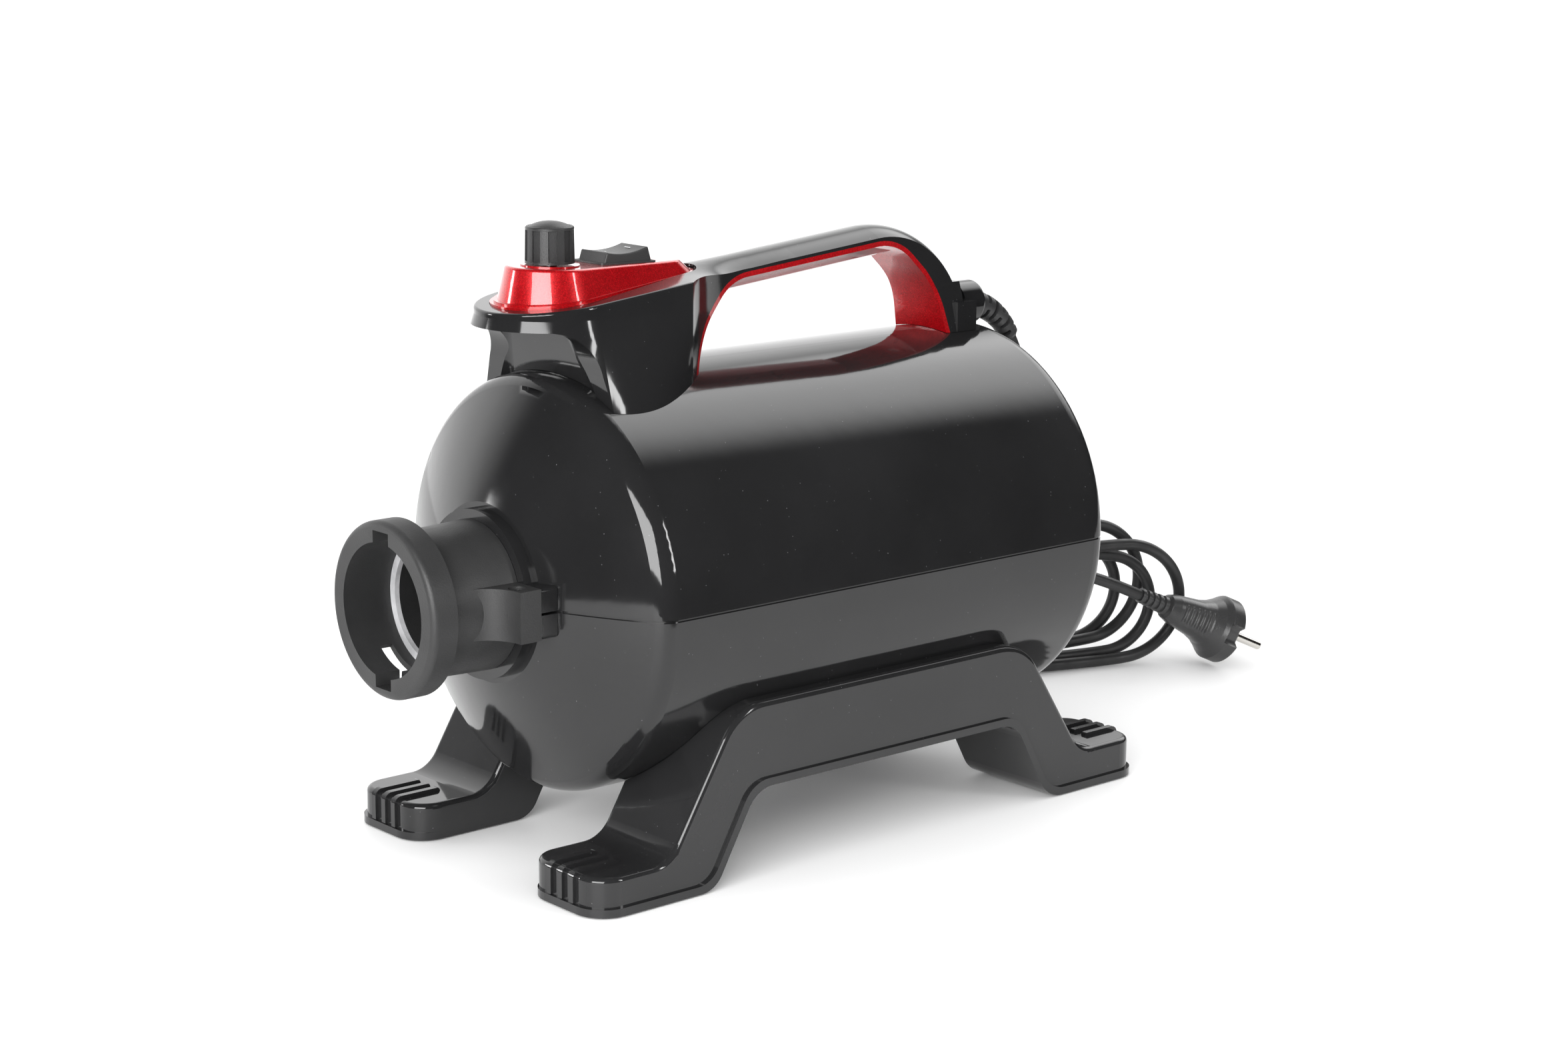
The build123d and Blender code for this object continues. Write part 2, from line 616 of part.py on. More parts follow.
# Seat of the panel on the pod
def hull_outline(plane, front_r, rear_y, rear_r):
    """Egg-shaped outline about the knob's axis and a rear centre, on a plane through the knob's axis."""
    half_angle = degrees(acos((front_r - rear_r) / (rear_y - KNOB_Y)))
    with BuildSketch(plane) as outline:
        with BuildLine():
            front = CenterArc((0, 0), front_r, 90 + half_angle, 360 - 2 * half_angle)
            rear = CenterArc((0, rear_y - KNOB_Y), rear_r, 90 - half_angle, 2 * half_angle)
            Line(front @ 1, rear @ 0)
            Line(rear @ 1, front @ 0)
        make_face()
    return outline.sketch


def panel_plane(z, slope):
    """Plane that passes z on the knob's axis and rises towards the rear by slope."""
    return Plane(origin=(0, KNOB_Y, z), x_dir=(1, 0, 0), z_dir=(0, -slope, 1))


PLATEAU_Z, PLATEAU_SLOPE, SHELL_T = 270.6, -0.027, 2.2
seat_plane = panel_plane(SEAT_Z - FLANGE_T, SEAT_SLOPE)
top_plane = panel_plane(PLATEAU_Z, PLATEAU_SLOPE)

with BuildPart() as control_pod:
    add(grip.part)
    extrude(opening_outline(0), amount=120, mode=Mode.SUBTRACT)
    add(pod.part)
    seat_outline = hull_outline(seat_plane, FLANGE_R + 0.2, FLANGE_REAR_Y, FLANGE_REAR_R + 0.2)
    extrude(seat_outline, amount=30, mode=Mode.SUBTRACT)
    extrude(hull_outline(seat_plane, 21.0, -41.0, 8.0), amount=-5.5, mode=Mode.SUBTRACT)
    # Hollow for the switch, the speed control and the wiring
    with BuildSketch(Plane.YZ.offset(-28)):
        with BuildLine():
            Polyline((-92, 190), (-101, 243), (-118, 247), (-118, 250), (-50, 257), (-50, 190), close=True)
        make_face()
    extrude(amount=56, mode=Mode.SUBTRACT)
    add(TANK_CLEAR, mode=Mode.SUBTRACT)
    for (x, y), z in zip(POD_SCREWS, POD_HEAD_Z):
        with BuildSketch(Plane.XY.offset(z)):
            with Locations((-x, y), (x, y)):
                Circle(POD_SCREW_R)
        extrude(amount=17.5, mode=Mode.SUBTRACT)
finish(control_pod, "control_pod")

# ---------------------------------------------------------------- control panel
ROCKER_Y, ROCKER_Z, ROCKER_W, ROCKER_L = -66.0, 266.0, 19.4, 26.9
SWITCH_W, SWITCH_L, SWITCH_WALL = 20.6, 30.0, 0.4
with BuildPart() as control_panel:
    extrude(hull_outline(seat_plane, FLANGE_R, FLANGE_REAR_Y, FLANGE_REAR_R), amount=FLANGE_T)
    step_plane = panel_plane(SEAT_Z, SEAT_SLOPE)
    extrude(hull_outline(step_plane, FLANGE_R - 1.5, FLANGE_REAR_Y, FLANGE_REAR_R - 1.5), amount=1.0)
    add(hull_outline(panel_plane(SEAT_Z + 1.0, SEAT_SLOPE), 23.6, -36.0, 11.2))
    add(hull_outline(top_plane, 20.1, -41.0, 9.6))
    loft()
    plateau = control_panel.faces().sort_by(Axis.Z)[-1]
    fillet(plateau.edges(), 1.5)
    add(hull_outline(seat_plane, 21.2, -36.5, 8.4))
    add(hull_outline(top_plane.offset(-SHELL_T), 17.6, -41.0, 7.4))
    loft(mode=Mode.SUBTRACT)
    # Ring round the knob's shaft
    with BuildSketch(top_plane.offset(-0.6)):
        Circle(13.2)
    extrude(amount=1.1)
    with BuildSketch(Plane.XY.offset(SEAT_Z - 5)):
        with Locations((0, KNOB_Y)):
            Circle(4.3)
        with Locations((0, ROCKER_Y)):
            RectangleRounded(SWITCH_W + 0.3, SWITCH_L + 0.3, 1.2)
    extrude(amount=30, mode=Mode.SUBTRACT)
finish(control_panel, "control_panel")

# ---------------------------------------------------------------- rocker switch
SWITCH_BOTTOM_Z = 252.5
PIVOT_R = 1.5
frame_plane = top_plane.offset(0.05)
with BuildPart() as switch_body:
    with BuildSketch(Plane.XY.offset(SWITCH_BOTTOM_Z)):
        with Locations((0, ROCKER_Y)):
            RectangleRounded(SWITCH_W, SWITCH_L, 1.0)
    extrude(amount=271.0 - SWITCH_BOTTOM_Z)
    split(bisect_by=frame_plane, keep=Keep.BOTTOM)
    with BuildSketch(frame_plane):
        with Locations((0, ROCKER_Y - KNOB_Y)):
            RectangleRounded(SWITCH_W + 1.2, SWITCH_L + 1.4, 1.6)
    extrude(amount=0.8)
    with BuildSketch(Plane.XY.offset(SWITCH_BOTTOM_Z + 4)):
        with Locations((0, ROCKER_Y)):
            Rectangle(SWITCH_W - 2 * SWITCH_WALL, SWITCH_L - 2 * SWITCH_WALL)
    extrude(amount=30, mode=Mode.SUBTRACT)
    with BuildSketch(Plane.YZ.offset(-SWITCH_W / 2 + 0.2)):
        with Locations((ROCKER_Y, ROCKER_Z)):
            Circle(PIVOT_R)
    extrude(amount=SWITCH_W - 0.4)
    # Terminals underneath
    for y in (-9, 0, 9):
        with BuildSketch(Plane.XY.offset(SWITCH_BOTTOM_Z)):
            with Locations((0, ROCKER_Y + y)):
                Rectangle(6.3, 0.8)
        extrude(amount=-8)
finish(switch_body, "switch_body")

with BuildPart() as switch_rocker:
    with BuildSketch(Plane.YZ.offset(-ROCKER_W / 2)):
        with BuildLine():
            top = ThreePointArc((ROCKER_Y - 11.6, 275.3), (ROCKER_Y, 274.3), (ROCKER_Y + 11.6, 276.6))
            Polyline(
                top @ 1, (ROCKER_Y + ROCKER_L / 2, 270.4), (ROCKER_Y + 12.6, 266.5), (ROCKER_Y + 5, 261.5),
                (ROCKER_Y - 5, 261.5), (ROCKER_Y - 12.6, 266.0), (ROCKER_Y - ROCKER_L / 2, 269.8), top @ 0,
            )
        make_face()
        with Locations((ROCKER_Y, ROCKER_Z)):
            Circle(PIVOT_R + RUN, mode=Mode.SUBTRACT)
    extrude(amount=ROCKER_W)
    upper_edges = switch_rocker.edges().filter_by(lambda edge: (edge @ 0.5).Z > 271.5)
    fillet(upper_edges, 0.7)
finish(switch_rocker, "switch_rocker")

# ---------------------------------------------------------------- speed control
KNOB_R, KNOB_Z, KNOB_RIM_Z, KNOB_DOME = 11.0, 271.8, 288.3, 2.1
FLUTES, FLUTE_W, FLUTE_DEPTH = 9, 3.9, 1.15
POT_SHAFT_R, POT_Z = 3.0, 250.5
knob_axis = Plane(origin=(0, KNOB_Y, 0), x_dir=(1, 0, 0), z_dir=(0, -1, 0))
with BuildPart() as speed_knob:
    with BuildSketch(knob_axis):
        with BuildLine():
            dome = ThreePointArc((0, KNOB_RIM_Z + KNOB_DOME), (4.9, KNOB_RIM_Z + 1.6), (8.9, KNOB_RIM_Z + 0.1))
            groove = Polyline(dome @ 1, (9.3, KNOB_RIM_Z - 0.3), (9.9, KNOB_RIM_Z))
            rim = ThreePointArc(groove @ 1, (10.7, KNOB_RIM_Z - 0.4), (KNOB_R - 0.15, KNOB_RIM_Z - 1.4))
            Polyline(rim @ 1, (KNOB_R + 0.15, KNOB_Z), (0, KNOB_Z), dome @ 0)
        make_face()
    revolve(axis=Axis((0, KNOB_Y, 0), (0, 0, 1)))
    with BuildSketch(Plane.XY.offset(KNOB_Z + 1.2)):
        with Locations((0, KNOB_Y)):
            with PolarLocations(KNOB_R + 0.2, FLUTES, start_angle=10):
                Rectangle(2 * FLUTE_DEPTH, FLUTE_W)
    extrude(amount=KNOB_RIM_Z - KNOB_Z - 2.8, mode=Mode.SUBTRACT)
    with Locations((0, KNOB_Y, KNOB_Z)):
        Cylinder(POT_SHAFT_R, 26, mode=Mode.SUBTRACT)
finish(speed_knob, "speed_knob")

with BuildPart() as knob_shaft:
    with Locations((0, KNOB_Y, (POT_Z + 4 + KNOB_Z + 12.8) / 2)):
        Cylinder(POT_SHAFT_R, KNOB_Z + 12.8 - POT_Z - 4)
    with Locations((0, KNOB_Y, POT_Z + 5.5)):
        Cylinder(6.0, 3.0)
finish(knob_shaft, "knob_shaft")

with BuildPart() as speed_potentiometer:
    with BuildSketch(Plane.XY.offset(POT_Z)):
        with Locations((0, KNOB_Y)):
            Circle(8.5)
    extrude(amount=11.5)
    with BuildSketch(Plane.XY.offset(POT_Z + 11.5)):
        with Locations((0, KNOB_Y)):
            Circle(3.9)
    extrude(amount=8)
    with Locations((0, KNOB_Y, POT_Z + 6.0)):
        Cylinder(6.3, 5.0, mode=Mode.SUBTRACT)
    with Locations((0, KNOB_Y, POT_Z + 15)):
        Cylinder(POT_SHAFT_R + RUN, 14, mode=Mode.SUBTRACT)
    with BuildSketch(Plane.XY.offset(POT_Z + 2)):
        for x in (-5, 0, 5):
            with Locations((x, KNOB_Y + 10)):
                Rectangle(1.4, 6)
    extrude(amount=0.8)
finish(speed_potentiometer, "speed_potentiometer")

BOARD_Z, BOARD_Y = 231.0, -73.0
with BuildPart() as speed_control_board:
    with BuildSketch(Plane.XY.offset(BOARD_Z)):
        with Locations((0, BOARD_Y)):
            Rectangle(46, 32)
            with GridLocations(38, 25, 2, 2):
                Circle(1.6, mode=Mode.SUBTRACT)
    extrude(amount=1.6)
    with BuildSketch(Plane.XY.offset(BOARD_Z + 1.6)):
        with Locations((-14, BOARD_Y - 2)):
            Circle(5)
        with Locations((0, BOARD_Y + 4)):
            Rectangle(10, 5)
    extrude(amount=11)
    with BuildSketch(Plane.XY.offset(BOARD_Z + 1.6)):
        with Locations((14, BOARD_Y)):
            Rectangle(3, 22)
            with GridLocations(0, 5, 1, 4):
                Rectangle(9, 1.4)
    extrude(amount=10)
finish(speed_control_board, "speed_control_board")

with BuildPart() as pod_screws:
    for (x, y), z in zip(POD_SCREWS, POD_HEAD_Z):
        with BuildSketch(Plane.XY.offset(z)):
            with Locations((-x, y), (x, y)):
                Circle(3.2)
        extrude(amount=2.4)
        with BuildSketch(Plane.XY.offset(z)):
            with Locations((-x, y), (x, y)):
                Circle(POD_SCREW_R)
        extrude(amount=17)
finish(pod_screws, "pod_screws")

# ---------------------------------------------------------------- cord exit
EXIT_Z, EXIT_R, EXIT_END_Y = 232.5, 11.0, 162.0
RELIEF_R, RELIEF_RIB_R, RELIEF_BEND_R, RELIEF_Z = 4.3, 6.3, 40.0, 232.1
RELIEF_TURN, RELIEF_Y = 60.0, 155.0  # how far it turns down, and where it leaves the straight
with BuildPart() as cord_gland:
    with BuildSketch(Plane.XZ.offset(-EXIT_BLOCK_REAR_Y)):
        with Locations((0, EXIT_Z)):
            Circle(EXIT_R)
    extrude(amount=EXIT_BLOCK_REAR_Y - EXIT_END_Y)
    fillet(cord_gland.edges().sort_by(Axis.Y)[-1], 2.5)
    add(TANK_CLEAR, mode=Mode.SUBTRACT)
    with BuildSketch(Plane.XZ.offset(-EXIT_BLOCK_REAR_Y)):
        with Locations((0, RELIEF_Z - 0.3)):
            Circle(RELIEF_R + 0.6)
    extrude(amount=EXIT_BLOCK_REAR_Y - EXIT_END_Y, mode=Mode.SUBTRACT)
finish(cord_gland, "cord_gland")

# Strain relief: an arc of ribs that bends down from the exit
relief_axis = Axis((0, RELIEF_Y, RELIEF_Z - RELIEF_BEND_R), (-1, 0, 0))


def relief_plane(turn):
    """Plane across the strain relief where it has turned down by an angle, facing along it."""
    along, down = sin(radians(turn)), cos(radians(turn))
    return Plane(
        origin=(0, RELIEF_Y + RELIEF_BEND_R * along, RELIEF_Z - RELIEF_BEND_R * (1 - down)),
        x_dir=(1, 0, 0), z_dir=(0, down, -along),
    )


with BuildPart() as strain_relief:
    with BuildSketch(relief_plane(0)) as relief_core:
        Circle(RELIEF_R)
    extrude(relief_core.sketch, amount=EXIT_BLOCK_REAR_Y + 2 - RELIEF_Y)
    revolve(relief_core.sketch, axis=relief_axis, revolution_arc=RELIEF_TURN)
    for rib in range(5):
        with BuildSketch(relief_plane(12 + 9.6 * rib)) as relief_rib:
            Circle(RELIEF_RIB_R - 0.25 * rib)
        revolve(relief_rib.sketch, axis=relief_axis, revolution_arc=5.2)
finish(strain_relief, "strain_relief")


# ---------------------------------------------------------------- cord
def bend_radii(route):
    """Radius of the arc at each inner point: as large as the two runs beside it allow."""
    radii = []
    for before, point, after in zip(route, route[1:], route[2:]):
        run_in, run_out = Vector(*point) - Vector(*before), Vector(*after) - Vector(*point)
        turn = radians(run_in.get_angle(run_out))
        radii.append(0.45 * min(run_in.length, run_out.length) / tan(turn / 2))
    return radii


def cord_tube(route, label):
    """A round cord along a route of straight runs joined by arcs."""
    radii = bend_radii(route)
    with BuildPart() as tube:
        with BuildLine() as path:
            FilletPolyline(*route, radius=radii)
        with BuildSketch(Plane(origin=path.line @ 0, z_dir=path.line % 0)):
            Circle(CORD_R)
        sweep(path=path.line)
    finish(tube, label)
    length = sum(edge.length for edge in path.edges())
    section_volume = pi * CORD_R**2 * length
    print(label, "length", round(length, 1), "radii", [round(radius) for radius in radii])
    print(label, "volume over section times length", round(tube.part.volume / section_volume, 4))
    return tube


FIRST_RUN = 25.0
relief_end = relief_plane(RELIEF_TURN)
CORD_ROUTE = [
    tuple(relief_end.origin), tuple(relief_end.origin + relief_end.z_dir * FIRST_RUN),
    (-4, 212, 160), (-14, 216, 125), (-36, 230, 103), (-63, 251, 93), (-86.0, 275.5, 84),
]
LEAD_ROUTE = [
    (-71.5, 278.0, 68), (-57.5, 295.8, 64), (-48.4, 314.3, 57.1), (-43.6, 328.7, 51.1), (-39.4, 341.2, 45),
]
cord_tube(CORD_ROUTE, "power_cord")
cord_tube(LEAD_ROUTE, "plug_lead")

# Hank: the outer shape of the coiled cord, which stands on its edge
HANK_START, HANK_END, HANK_TOP_Z, HANK_RING = -118.0, 44.0, 85.0, 28.0
HANK_BACK, HANK_FRONT = -32.0, -4.0
hank_plane = Plane(origin=(-50, 338, 0), x_dir=(0.316, 0.949, 0), z_dir=(0.949, -0.316, 0))
with BuildPart() as cord_hank:
    with BuildSketch(hank_plane.offset(HANK_BACK)):
        with Locations(((HANK_START + HANK_END) / 2, (HANK_TOP_Z + 0.2) / 2)):
            SlotOverall(HANK_END - HANK_START, HANK_TOP_Z - 0.2)
            hole_length = HANK_END - HANK_START - 2 * HANK_RING
            hole_height = HANK_TOP_Z - 0.2 - 2 * HANK_RING
            SlotOverall(hole_length, hole_height, mode=Mode.SUBTRACT)
    extrude(amount=HANK_FRONT - HANK_BACK)
    fillet(cord_hank.edges(), 3.0)
finish(cord_hank, "cord_hank")

# Plug: a ribbed neck, a tapering grip and a round contour face with two pins
PLUG_AXIS = Vector(*LEAD_ROUTE[-1]) - Vector(*LEAD_ROUTE[-2])
NECK_L, GRIP_END, FACE_END, PIN_L = 18.0, 54.0, 63.0, 19.0
PLUG_FACE_R, PIN_R, PIN_X = 19.0, 2.4, 9.5
plug_plane = Plane(origin=LEAD_ROUTE[-1], x_dir=(0.87, -0.29, 0), z_dir=PLUG_AXIS)
with BuildPart() as plug_body:
    with BuildSketch(plug_plane):
        Circle(4.6)
    extrude(amount=NECK_L)
    for rib in range(4):
        with BuildSketch(plug_plane.offset(0.6 + 4.6 * rib)):
            Circle(5.4 + 0.3 * rib)
        extrude(amount=2.8)
    for distance, radius in ((NECK_L, 8.0), (GRIP_END - 12, 11.5), (GRIP_END + 1, 15.5)):
        with BuildSketch(plug_plane.offset(distance)):
            Circle(radius)
    loft()
    with BuildSketch(plug_plane.offset(GRIP_END)):
        Circle(PLUG_FACE_R)
        for side in (-1, 1):
            with Locations((0, side * PLUG_FACE_R)):
                Rectangle(5.4, 7.0, mode=Mode.SUBTRACT)
    extrude(amount=FACE_END - GRIP_END)
    with BuildSketch(plug_plane.offset(FACE_END - 6)):
        with Locations((-PIN_X, 0), (PIN_X, 0)):
            Circle(PIN_R)
    extrude(amount=7, mode=Mode.SUBTRACT)
finish(plug_body, "plug_body")

with BuildPart() as plug_pins:
    for side in (-1, 1):
        with BuildSketch(plug_plane.offset(FACE_END - 6)):
            with Locations((side * PIN_X, 0)):
                Circle(PIN_R)
        extrude(amount=PIN_L + 6)
    fillet(plug_pins.edges().sort_by(Axis(plug_plane.origin, PLUG_AXIS))[-2:], 1.2)
finish(plug_pins, "plug_pins")

# ---------------------------------------------------------------- motor and fan
CAN_R, CAN_WALL, CAN_FRONT_Y, CAN_REAR_Y = 45.0, 3.0, -50.0, 30.0
FAN_REAR_Y, FAN_WALL = 80.0, 2.5
BEARING_R, BEARING_L = 8.0, 7.0
FRONT_BEARING_Y, REAR_BEARING_Y = -47.0, 18.0
MOUNT_R = TANK_R - WALL - 0.3
FRONT_MOUNT_Y, REAR_MOUNT_Y, MOUNT_T = -44.0, 62.0, 10.0


turned(
    [
        (CAN_FRONT_Y, SHAFT_R + 1.0), (CAN_FRONT_Y, CAN_R), (CAN_REAR_Y, CAN_R), (CAN_REAR_Y, SHAFT_R + 1.0),
        (REAR_BEARING_Y + BEARING_L, SHAFT_R + 1.0), (REAR_BEARING_Y + BEARING_L, BEARING_R),
        (REAR_BEARING_Y, BEARING_R), (REAR_BEARING_Y, BEARING_R + 3), (CAN_REAR_Y - 3, BEARING_R + 3),
        (CAN_REAR_Y - 3, CAN_R - CAN_WALL), (CAN_FRONT_Y + 3, CAN_R - CAN_WALL),
        (CAN_FRONT_Y + 3, BEARING_R + 3), (FRONT_BEARING_Y + BEARING_L, BEARING_R + 3),
        (FRONT_BEARING_Y + BEARING_L, BEARING_R), (FRONT_BEARING_Y, BEARING_R),
        (FRONT_BEARING_Y, SHAFT_R + 1.0),
    ],
    "motor_can",
)

with BuildPart() as motor_bearings:
    for y in (FRONT_BEARING_Y, REAR_BEARING_Y):
        with BuildSketch(ring_plane(y)):
            Circle(BEARING_R)
            Circle(SHAFT_R + RUN, mode=Mode.SUBTRACT)
        extrude(amount=-BEARING_L)
finish(motor_bearings, "motor_bearings")

SHAFT_FRONT_Y, SHAFT_REAR_Y = -54.0, 76.0
with BuildPart() as rotor_shaft:
    with BuildSketch(ring_plane(SHAFT_FRONT_Y)):
        Circle(SHAFT_R)
    extrude(amount=SHAFT_FRONT_Y - SHAFT_REAR_Y)
    chamfer(rotor_shaft.edges(), 0.6)
finish(rotor_shaft, "rotor_shaft")

# Armature: a slotted core with the commutator in front of it
CORE_R, CORE_FRONT_Y, CORE_REAR_Y = 24.0, -24.0, 10.0
COMMUTATOR_R, COMMUTATOR_FRONT_Y = 11.0, -36.0
with BuildPart() as armature:
    with BuildSketch(ring_plane(CORE_FRONT_Y)):
        Circle(CORE_R)
        with PolarLocations(CORE_R, 12):
            Rectangle(9, 2.4, mode=Mode.SUBTRACT)
    extrude(amount=CORE_FRONT_Y - CORE_REAR_Y)
    with BuildSketch(ring_plane(COMMUTATOR_FRONT_Y)):
        Circle(COMMUTATOR_R)
    extrude(amount=COMMUTATOR_FRONT_Y - CORE_FRONT_Y)
    with BuildSketch(ring_plane(COMMUTATOR_FRONT_Y)):
        Circle(SHAFT_R)
    extrude(amount=COMMUTATOR_FRONT_Y - CORE_REAR_Y, mode=Mode.SUBTRACT)
finish(armature, "armature")

turned(tube_section(CORE_FRONT_Y + 2, CORE_REAR_Y - 2, CORE_R + 0.8, CAN_R - CAN_WALL), "field_coils")

with BuildPart() as brush_holders:
    for side in (-1, 1):
        with Locations((side * (COMMUTATOR_R + 0.4 + 14), -31.0, AXIS_Z)):
            Box(28, 7, 10)
finish(brush_holders, "brush_holders")

# Impeller: a back plate, curved blades and a front ring with the eye
IMPELLER_R, EYE_R, HUB_R = 60.0, 27.0, 12.0
PLATE_Y, BLADE_T, BLADES = 40.0, 1.6, 9
with BuildPart() as impeller:
    with BuildSketch(ring_plane(PLATE_Y)):
        Circle(IMPELLER_R)
    extrude(amount=-2)
    with BuildSketch(ring_plane(PLATE_Y)):
        Circle(HUB_R)
    extrude(amount=-30)
    with BuildSketch(ring_plane(PLATE_Y + 2)):
        for blade in range(BLADES):
            turn = radians(360 / BLADES * blade)
            blade_ends = [
                (radius * cos(turn + sweep_angle), radius * sin(turn + sweep_angle))
                for radius, sweep_angle in ((IMPELLER_R - 0.5, 0.0), (45, 0.28), (24.0, 0.75))
            ]
            with BuildLine():
                blade_line = ThreePointArc(*blade_ends)
            trace(line_width=BLADE_T)
    extrude(amount=-20)
    with BuildSketch(ring_plane(PLATE_Y + 22)):
        Circle(IMPELLER_R)
        Circle(EYE_R, mode=Mode.SUBTRACT)
    extrude(amount=-1.6)
    with BuildSketch(ring_plane(PLATE_Y)):
        Circle(SHAFT_R)
    extrude(amount=-40, mode=Mode.SUBTRACT)
finish(impeller, "impeller")

# Fan housing: air comes in through the rear eye and leaves forward round the motor
with BuildPart() as fan_housing:
    with BuildSketch(ring_plane(CAN_REAR_Y)):
        Circle(FAN_R)
    extrude(amount=CAN_REAR_Y - FAN_REAR_Y)
    with BuildSketch(ring_plane(CAN_REAR_Y + FAN_WALL)):
        Circle(FAN_R - FAN_WALL)
    extrude(amount=CAN_REAR_Y - FAN_REAR_Y + 2 * FAN_WALL, mode=Mode.SUBTRACT)
    with BuildSketch(ring_plane(CAN_REAR_Y)):
        Circle(SHAFT_R + 2)
        with PolarLocations(56, 12):
            SlotOverall(18, 8, rotation=0)
    extrude(amount=-FAN_WALL, mode=Mode.SUBTRACT)
    with BuildSketch(ring_plane(FAN_REAR_Y)):
        Circle(EYE_R + 1)
    extrude(amount=2 * FAN_WALL, both=True, mode=Mode.SUBTRACT)
finish(fan_housing, "fan_housing")

with BuildPart() as front_motor_mount:
    with BuildSketch(ring_plane(FRONT_MOUNT_Y)):
        Circle(MOUNT_R)
        Circle(CAN_R, mode=Mode.SUBTRACT)
        with PolarLocations(69, 8):
            Circle(15, mode=Mode.SUBTRACT)
    extrude(amount=-MOUNT_T)
finish(front_motor_mount, "front_motor_mount")

turned(tube_section(REAR_MOUNT_Y, REAR_MOUNT_Y + MOUNT_T, FAN_R, MOUNT_R), "rear_motor_mount")

# Sound-absorbing lining of the upper half, between the two mounts
with BuildPart() as noise_foam:
    with BuildSketch(ring_plane(-28)):
        Circle(MOUNT_R)
        Circle(MOUNT_R - 9, mode=Mode.SUBTRACT)
        with Locations((0, -40)):
            Rectangle(200, 120, mode=Mode.SUBTRACT)
    extrude(amount=-84)
finish(noise_foam, "noise_foam")

# ---------------------------------------------------------------- air intake
GRILLE_Y, GRILLE_T, GRILLE_R = 157.0, 3.0, 70.0
SLOTS_AROUND, SLOT_WEB = 6, 4.5


def air_slots(radii, width):
    """Centre lines of rings of air slots, with a web of the same width between neighbours at every radius."""
    pitch = 360 / SLOTS_AROUND
    arcs = [pitch - degrees((width + SLOT_WEB) / radius) for radius in radii]
    return [CenterArc((0, 0), radius, -arc / 2, arc) for radius, arc in zip(radii, arcs)]


grille_slots = air_slots((16, 26, 36, 46, 56), 5.5)
COVER_FRONT_Y, LUG_FRONT_Y, LUG_REAR_Y = 169.3, 162.6, 165.7
with BuildPart() as intake_grille:
    with BuildSketch(ring_plane(GRILLE_Y)):
        Circle(GRILLE_R)
        for slot in grille_slots:
            with PolarLocations(0, SLOTS_AROUND):
                SlotArc(slot, 5.5, mode=Mode.SUBTRACT)
    extrude(amount=-GRILLE_T)
    with BuildSketch(ring_plane(GRILLE_Y + GRILLE_T)):
        with PolarLocations(64.5, 4, start_angle=45):
            Circle(2.2)
    extrude(amount=-(REAR_Y - WALL - GRILLE_Y - GRILLE_T))
finish(intake_grille, "intake_grille")

turned(tube_section(162.0, 177.0, 0, 54.5), "filter_foam")

cover_slots = air_slots((14, 23, 32, 41, 50), 4.5)
with BuildPart() as filter_cover:
    with BuildSketch(TANK_PLANE):
        with BuildLine():
            Polyline(
                (COVER_FRONT_Y, SPIGOT_R - 2.6), (LUG_FRONT_Y, SPIGOT_R - 2.6), (LUG_FRONT_Y, SPIGOT_R),
                (COVER_FRONT_Y, SPIGOT_R),
                (COVER_FRONT_Y, COVER_R),
            )
            outer = ThreePointArc((COVER_FRONT_Y, COVER_R), (181.5, 66.8), (COVER_REAR_Y, 56))
            Polyline(
                outer @ 1, (COVER_REAR_Y, 0), (COVER_REAR_Y - 2.6, 0), (COVER_REAR_Y - 2.6, 55),
                (COVER_FRONT_Y + 2.6, SPIGOT_R - 2.6), (COVER_FRONT_Y, SPIGOT_R - 2.6),
            )
        make_face()
    revolve(axis=TANK_AXIS)
    with BuildSketch(ring_plane(COVER_REAR_Y + 1)):
        for slot in cover_slots:
            with PolarLocations(0, SLOTS_AROUND):
                SlotArc(slot, 4.5)
    extrude(amount=5, mode=Mode.SUBTRACT)
    # Bayonet lugs, which pass the notches in the shell's opening
    with BuildSketch(ring_plane(LUG_FRONT_Y)):
        for angle in LUG_ANGLES:
            add(ring_sector(SPIGOT_R - 1, LUG_R, angle, LUG_ARC))
    extrude(amount=LUG_FRONT_Y - LUG_REAR_Y)
finish(filter_cover, "filter_cover")
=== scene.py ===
"""Pet dryer: cords, soft pieces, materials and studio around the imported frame."""
import json
import math

import bmesh
import bpy
from mathutils import Matrix, Vector


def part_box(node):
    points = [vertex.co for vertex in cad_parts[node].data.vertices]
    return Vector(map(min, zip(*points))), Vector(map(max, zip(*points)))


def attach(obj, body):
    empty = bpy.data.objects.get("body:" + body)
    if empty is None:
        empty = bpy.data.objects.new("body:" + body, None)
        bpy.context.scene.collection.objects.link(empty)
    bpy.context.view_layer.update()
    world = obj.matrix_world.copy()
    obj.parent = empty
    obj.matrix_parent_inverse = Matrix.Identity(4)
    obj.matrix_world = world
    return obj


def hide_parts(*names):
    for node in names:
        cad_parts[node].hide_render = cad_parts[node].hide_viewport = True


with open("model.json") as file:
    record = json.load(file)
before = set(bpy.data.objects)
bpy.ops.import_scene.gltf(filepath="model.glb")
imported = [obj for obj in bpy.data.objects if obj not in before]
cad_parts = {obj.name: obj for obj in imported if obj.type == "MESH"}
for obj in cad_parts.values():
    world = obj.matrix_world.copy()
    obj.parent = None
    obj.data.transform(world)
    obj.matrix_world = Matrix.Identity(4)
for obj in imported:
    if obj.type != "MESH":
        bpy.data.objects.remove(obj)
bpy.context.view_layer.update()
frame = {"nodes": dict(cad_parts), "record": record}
nodes = frame["nodes"]
record = frame["record"]
MM = 0.001


# ---------------------------------------------------------------- camera
def toward(azimuth, elevation):
    """The direction at an azimuth from -Y towards +X and an elevation above the floor, in radians."""
    return Vector((
        math.sin(azimuth) * math.cos(elevation), -math.cos(azimuth) * math.cos(elevation), math.sin(elevation)
    ))


